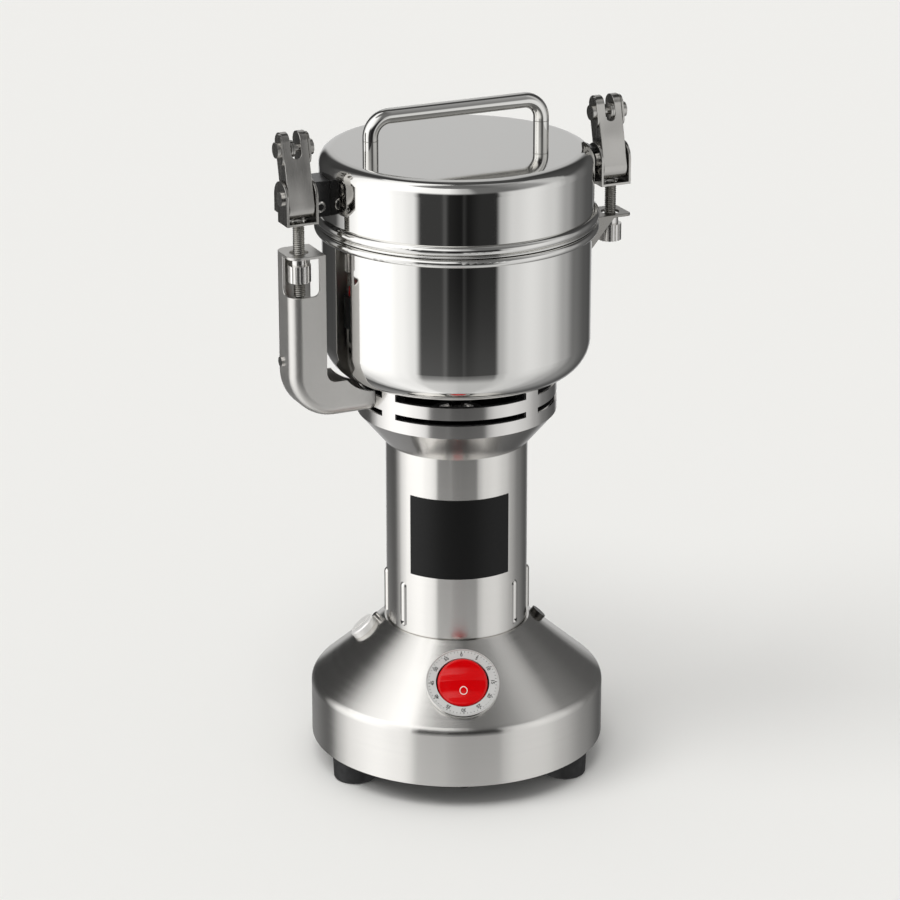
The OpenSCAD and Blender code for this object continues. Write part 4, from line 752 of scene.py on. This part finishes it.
makeRod("leftThreadedRod", "left_rod", "left_clamp")
makeRod("rightThreadedRod", "right_rod", "right_clamp")
print("label and rods made")

# trim of the switch dial in mm; the two outlines are given from the edge of its face
dial = {
    "turn": -22.0, "reach": 57.0, "height": 62.634, "slope": 41.2, "face": 2.5, "radius": 19.0, "steps": 120,
    "rim": [(-0.7, -0.2), (-0.6, 0.15), (-0.45, 0.3), (-0.25, 0.3), (-0.08, 0.18), (0.03, -0.05),
            (0.05, -1.6), (-0.3, -1.7)],
    "band": [(-0.2, -0.1), (0.08, -0.25), (0.08, -1.65), (-0.2, -1.75)],
}
# printed scale: ticks as width and length, with a longer one and a number at every mark
scale = {"ticks": 60, "marks": 12, "perMark": 5, "longTick": (0.4, 1.0), "shortTick": (0.26, 0.6),
         "tickThick": 0.06, "tickRise": 0.02, "tickOut": 17.7, "numberAt": 15.6, "numberSize": 2.5,
         "numberRise": 0.03, "bolder": 0.05}  # strokes drawn a little bold to show
dialPlace = onCone(dial["turn"], dial["reach"], dial["height"], dial["slope"])
# black ink for the dial's print, also used as painted shade in the lug screws' sockets and the louvres'
# mouths
inkFinish = paint("dialInkAndPaintedShade", "#0c0c0c", 0.5)


def makeDialRing(name, outline, slotName):
    bm = bmesh.new()
    spinRing(bm, [(dial["radius"] + out, dial["face"] + up) for out, up in outline], steps=dial["steps"])
    finishPiece(name, bm, finishes[slotName], "base", dialPlace)


def makeTicks():
    bm = bmesh.new()
    for i in range(scale["ticks"]):
        width, length = scale["shortTick"] if i % scale["perMark"] else scale["longTick"]
        turn = Matrix.Rotation(math.radians(i * 360 / scale["ticks"]), 4, "Z")
        out, up = scale["tickOut"] - length / 2, dial["face"] + scale["tickRise"]
        addBlock(bm, (width, length, scale["tickThick"]), turn @ Matrix.Translation((0, mm(out), mm(up))))
    finishPiece("dialTicks", bm, inkFinish, "base", dialPlace, smooth=False)


def makeNumbers():
    bm = bmesh.new()
    rise = scale["numberRise"]
    for i in range(scale["marks"]):
        data = bpy.data.curves.new("number", "FONT")
        data.body = str(i * scale["perMark"])
        data.size = mm(scale["numberSize"])
        data.align_x = data.align_y = "CENTER"
        data.extrude = mm(rise)
        data.offset = mm(scale["bolder"])
        maker = bpy.data.objects.new("number", data)
        bpy.context.scene.collection.objects.link(maker)
        mesh = maker.to_mesh().copy()
        mesh.transform(Matrix.Rotation(math.radians(-i * 360 / scale["marks"]), 4, "Z")
                       @ Matrix.Translation((0, mm(scale["numberAt"]), mm(dial["face"] + rise))))
        bm.from_mesh(mesh)
        bpy.data.objects.remove(maker)
        bpy.data.meshes.remove(mesh)
    finishPiece("dialNumbers", bm, inkFinish, "base", dialPlace, smooth=False)


makeDialRing("dialRim", dial["rim"], "dial_metal")
makeDialRing("dialBand", dial["band"], "turned_steel")
makeTicks()
makeNumbers()

# red rocker in mm: round sides, two dished halves that meet in a crease, the upper half raised
rocker = {"ball": 13.2, "crease": 5.4, "highRise": 0.25, "lowFall": 0.26, "dish": 1.1, "dishSpan": 11.5,
          "crown": 1.2, "crownSpan": 12.0, "round": 0.45, "roundFrom": 0.94, "foot": -3.0, "steps": 180}


def rockerHeight(x, y):
    hollow = (rocker["dish"] * math.sin(math.pi * min(abs(y) / rocker["dishSpan"], 1.0))
              + rocker["crown"] * (x / rocker["crownSpan"]) ** 2)
    return rocker["crease"] + (rocker["highRise"] if y > 0 else rocker["lowFall"]) * y - hollow


def makeRocker():
    # spun as a flat disc first: up to 1 mm out it becomes the face, past that the round side
    bm = bmesh.new()
    rings = [i / 40 for i in range(38)] + [0.96, 0.98, 1.0, 1.04, 1.08] + [1.1 + i / 10 for i in range(10)]
    spinRing(bm, [(ring, 0) for ring in rings], steps=rocker["steps"], closed=False)
    bmesh.ops.remove_doubles(bm, verts=bm.verts, dist=1e-7)
    for vert in bm.verts:
        ring, angle = math.hypot(vert.co.x, vert.co.y) * 1000, math.atan2(vert.co.y, vert.co.x)
        edge = 12.0  # first guess of where face and ball meet, closed in on by the loop
        for _ in range(6):
            top = rockerHeight(edge * math.cos(angle), edge * math.sin(angle))
            edge = math.sqrt(rocker["ball"] ** 2 - top ** 2)
        if ring <= 1.0:
            reach = edge * ring
            z = rockerHeight(reach * math.cos(angle), reach * math.sin(angle))
            z -= rocker["round"] * max(0.0, (ring - rocker["roundFrom"]) / (1.0 - rocker["roundFrom"])) ** 2
        else:
            z = top - rocker["round"] + (rocker["foot"] - top + rocker["round"]) * (ring - 1.0)
            reach = math.sqrt(rocker["ball"] ** 2 - z ** 2)
        vert.co = Vector((mm(reach * math.cos(angle)), mm(reach * math.sin(angle)), mm(z)))
    finishPiece("rockerShell", bm, finishes["red_plastic"], "switch_rocker", dialPlace,
                sharpAngle=80, replaced=("rocker",))


# round off mark on the rocker's low half, in mm
offMark = {"inner": 1.7, "outer": 2.08, "place": (0.3, -4.9), "proud": 0.07, "sunk": 0.2, "steps": 48}


def makeOffMark():
    x, y = offMark["place"]
    inner, outer, proud, sunk = offMark["inner"], offMark["outer"], offMark["proud"], -offMark["sunk"]
    bm = bmesh.new()
    spinRing(bm, [(inner, sunk), (outer, sunk), (outer, proud), (inner, proud)], steps=offMark["steps"])
    for vert in bm.verts:
        vert.co += Vector((mm(x), mm(y), 0))
        vert.co.z += mm(rockerHeight(vert.co.x * 1000, vert.co.y * 1000))
    finishPiece("offMark", bm, paint("whiteMark", "#ece4de", 0.4), "switch_rocker", dialPlace)


makeRocker()
makeOffMark()

# socket screws in the front of the lugs, in mm: a pale ring round a black disc painted as the socket's shade
lugScrew = {"x": 75.6, "y": -0.5, "z": 312.15, "headRadius": 2.8, "headHeight": 1.2, "socketRadius": 1.6,
            "steps": 36}


def makeSockets():
    rings, sockets = bmesh.new(), bmesh.new()
    out, top, hole = lugScrew["headRadius"], lugScrew["headHeight"], lugScrew["socketRadius"]
    ringOutline = [(hole, top), (hole + 0.1, top + 0.35), (out - 0.3, top + 0.35), (out + 0.05, top),
                   (out + 0.05, 0.05), (out - 0.2, 0.05)]
    socketOutline = [(0, top + 0.03), (hole + 0.08, top + 0.03), (hole + 0.08, top - 0.1), (0, top - 0.1)]
    for side in (-1, 1):
        place = (Matrix.Translation((side * mm(lugScrew["x"]), mm(lugScrew["y"]), mm(lugScrew["z"])))
                 @ Matrix.Rotation(math.radians(90), 4, "X"))
        for bm, outline, closed in ((rings, ringOutline, True), (sockets, socketOutline, False)):
            before = set(bm.verts)
            spinRing(bm, outline, steps=lugScrew["steps"], closed=closed)
            bmesh.ops.transform(bm, matrix=place, verts=addedSince(bm, before))
    finishPiece("lugScrewRings", rings, finishes["turned_steel"], "lid")
    finishPiece("lugScrewSocketShade", sockets, inkFinish, "lid")


makeSockets()

# black sheets painted into the open lower ends of the pressed louvres as their shade, in mm and degrees
louvre = {"turn": -22.0, "first": 51.5, "step": 36.0, "perSide": 4, "reach": 35.615, "radius": 2.685,
          "proud": 0.03, "thick": 0.05, "bottom": 83.1, "mouth": 2.0, "halfSpan": 34.0, "rows": 3, "steps": 8,
          "narrowest": 0.02}


def makeMouths():
    bm = bmesh.new()
    radius, rows = louvre["radius"] + louvre["proud"], louvre["rows"]
    for side in (-1, 1):
        for i in range(louvre["perSide"]):
            before = set(bm.verts)
            verts, edges = addChain(bm, [(radius, louvre["bottom"] + louvre["mouth"] * row / rows)
                                         for row in range(rows + 1)])
            bmesh.ops.rotate(bm, verts=verts, cent=(0, 0, 0),
                             matrix=Matrix.Rotation(math.radians(-90 - louvre["halfSpan"]), 3, "Z"))
            bmesh.ops.spin(bm, geom=verts + edges, cent=(0, 0, 0), axis=(0, 0, 1), steps=louvre["steps"],
                           angle=math.radians(2 * louvre["halfSpan"]))
            made = addedSince(bm, before)
            for vert in made:  # drawn in to a point at the bottom
                share = (vert.co.z * 1000 - louvre["bottom"]) / louvre["mouth"]
                turned = math.atan2(vert.co.x, -vert.co.y) * max(share, louvre["narrowest"])
                vert.co.x, vert.co.y = mm(radius) * math.sin(turned), -mm(radius) * math.cos(turned)
            turn = louvre["turn"] + side * (louvre["first"] + i * louvre["step"])
            bmesh.ops.transform(bm, matrix=Matrix.Rotation(math.radians(turn), 4, "Z")
                                @ Matrix.Translation((0, -mm(louvre["reach"]), 0)), verts=made)
    bmesh.ops.recalc_face_normals(bm, faces=bm.faces)
    bmesh.ops.solidify(bm, geom=bm.faces[:], thickness=mm(louvre["thick"]))
    finishPiece("louvreMouthShade", bm, inkFinish, "base")


makeMouths()

# weld seams near the feet of the handle, in mm
seam = {"x": 47.5, "lidTop": 334.4, "height": 8.5, "radius": 4.0, "steps": 40,
        "outline": [(-0.1, -0.3), (0.03, -0.15), (0.03, 0.15), (-0.1, 0.3)]}  # from the rod's side


def makeSeams():
    bm = bmesh.new()
    middle = seam["lidTop"] + seam["height"]
    points = [(seam["radius"] + out, middle + up) for out, up in seam["outline"]]
    for side in (-1, 1):
        before = set(bm.verts)
        spinRing(bm, points, steps=seam["steps"])
        bmesh.ops.translate(bm, verts=addedSince(bm, before), vec=(side * mm(seam["x"]), 0, 0))
    finishPiece("handleSeams", bm, finishes["dark_steel"], "lid")


makeSeams()
print("dial and marks made")
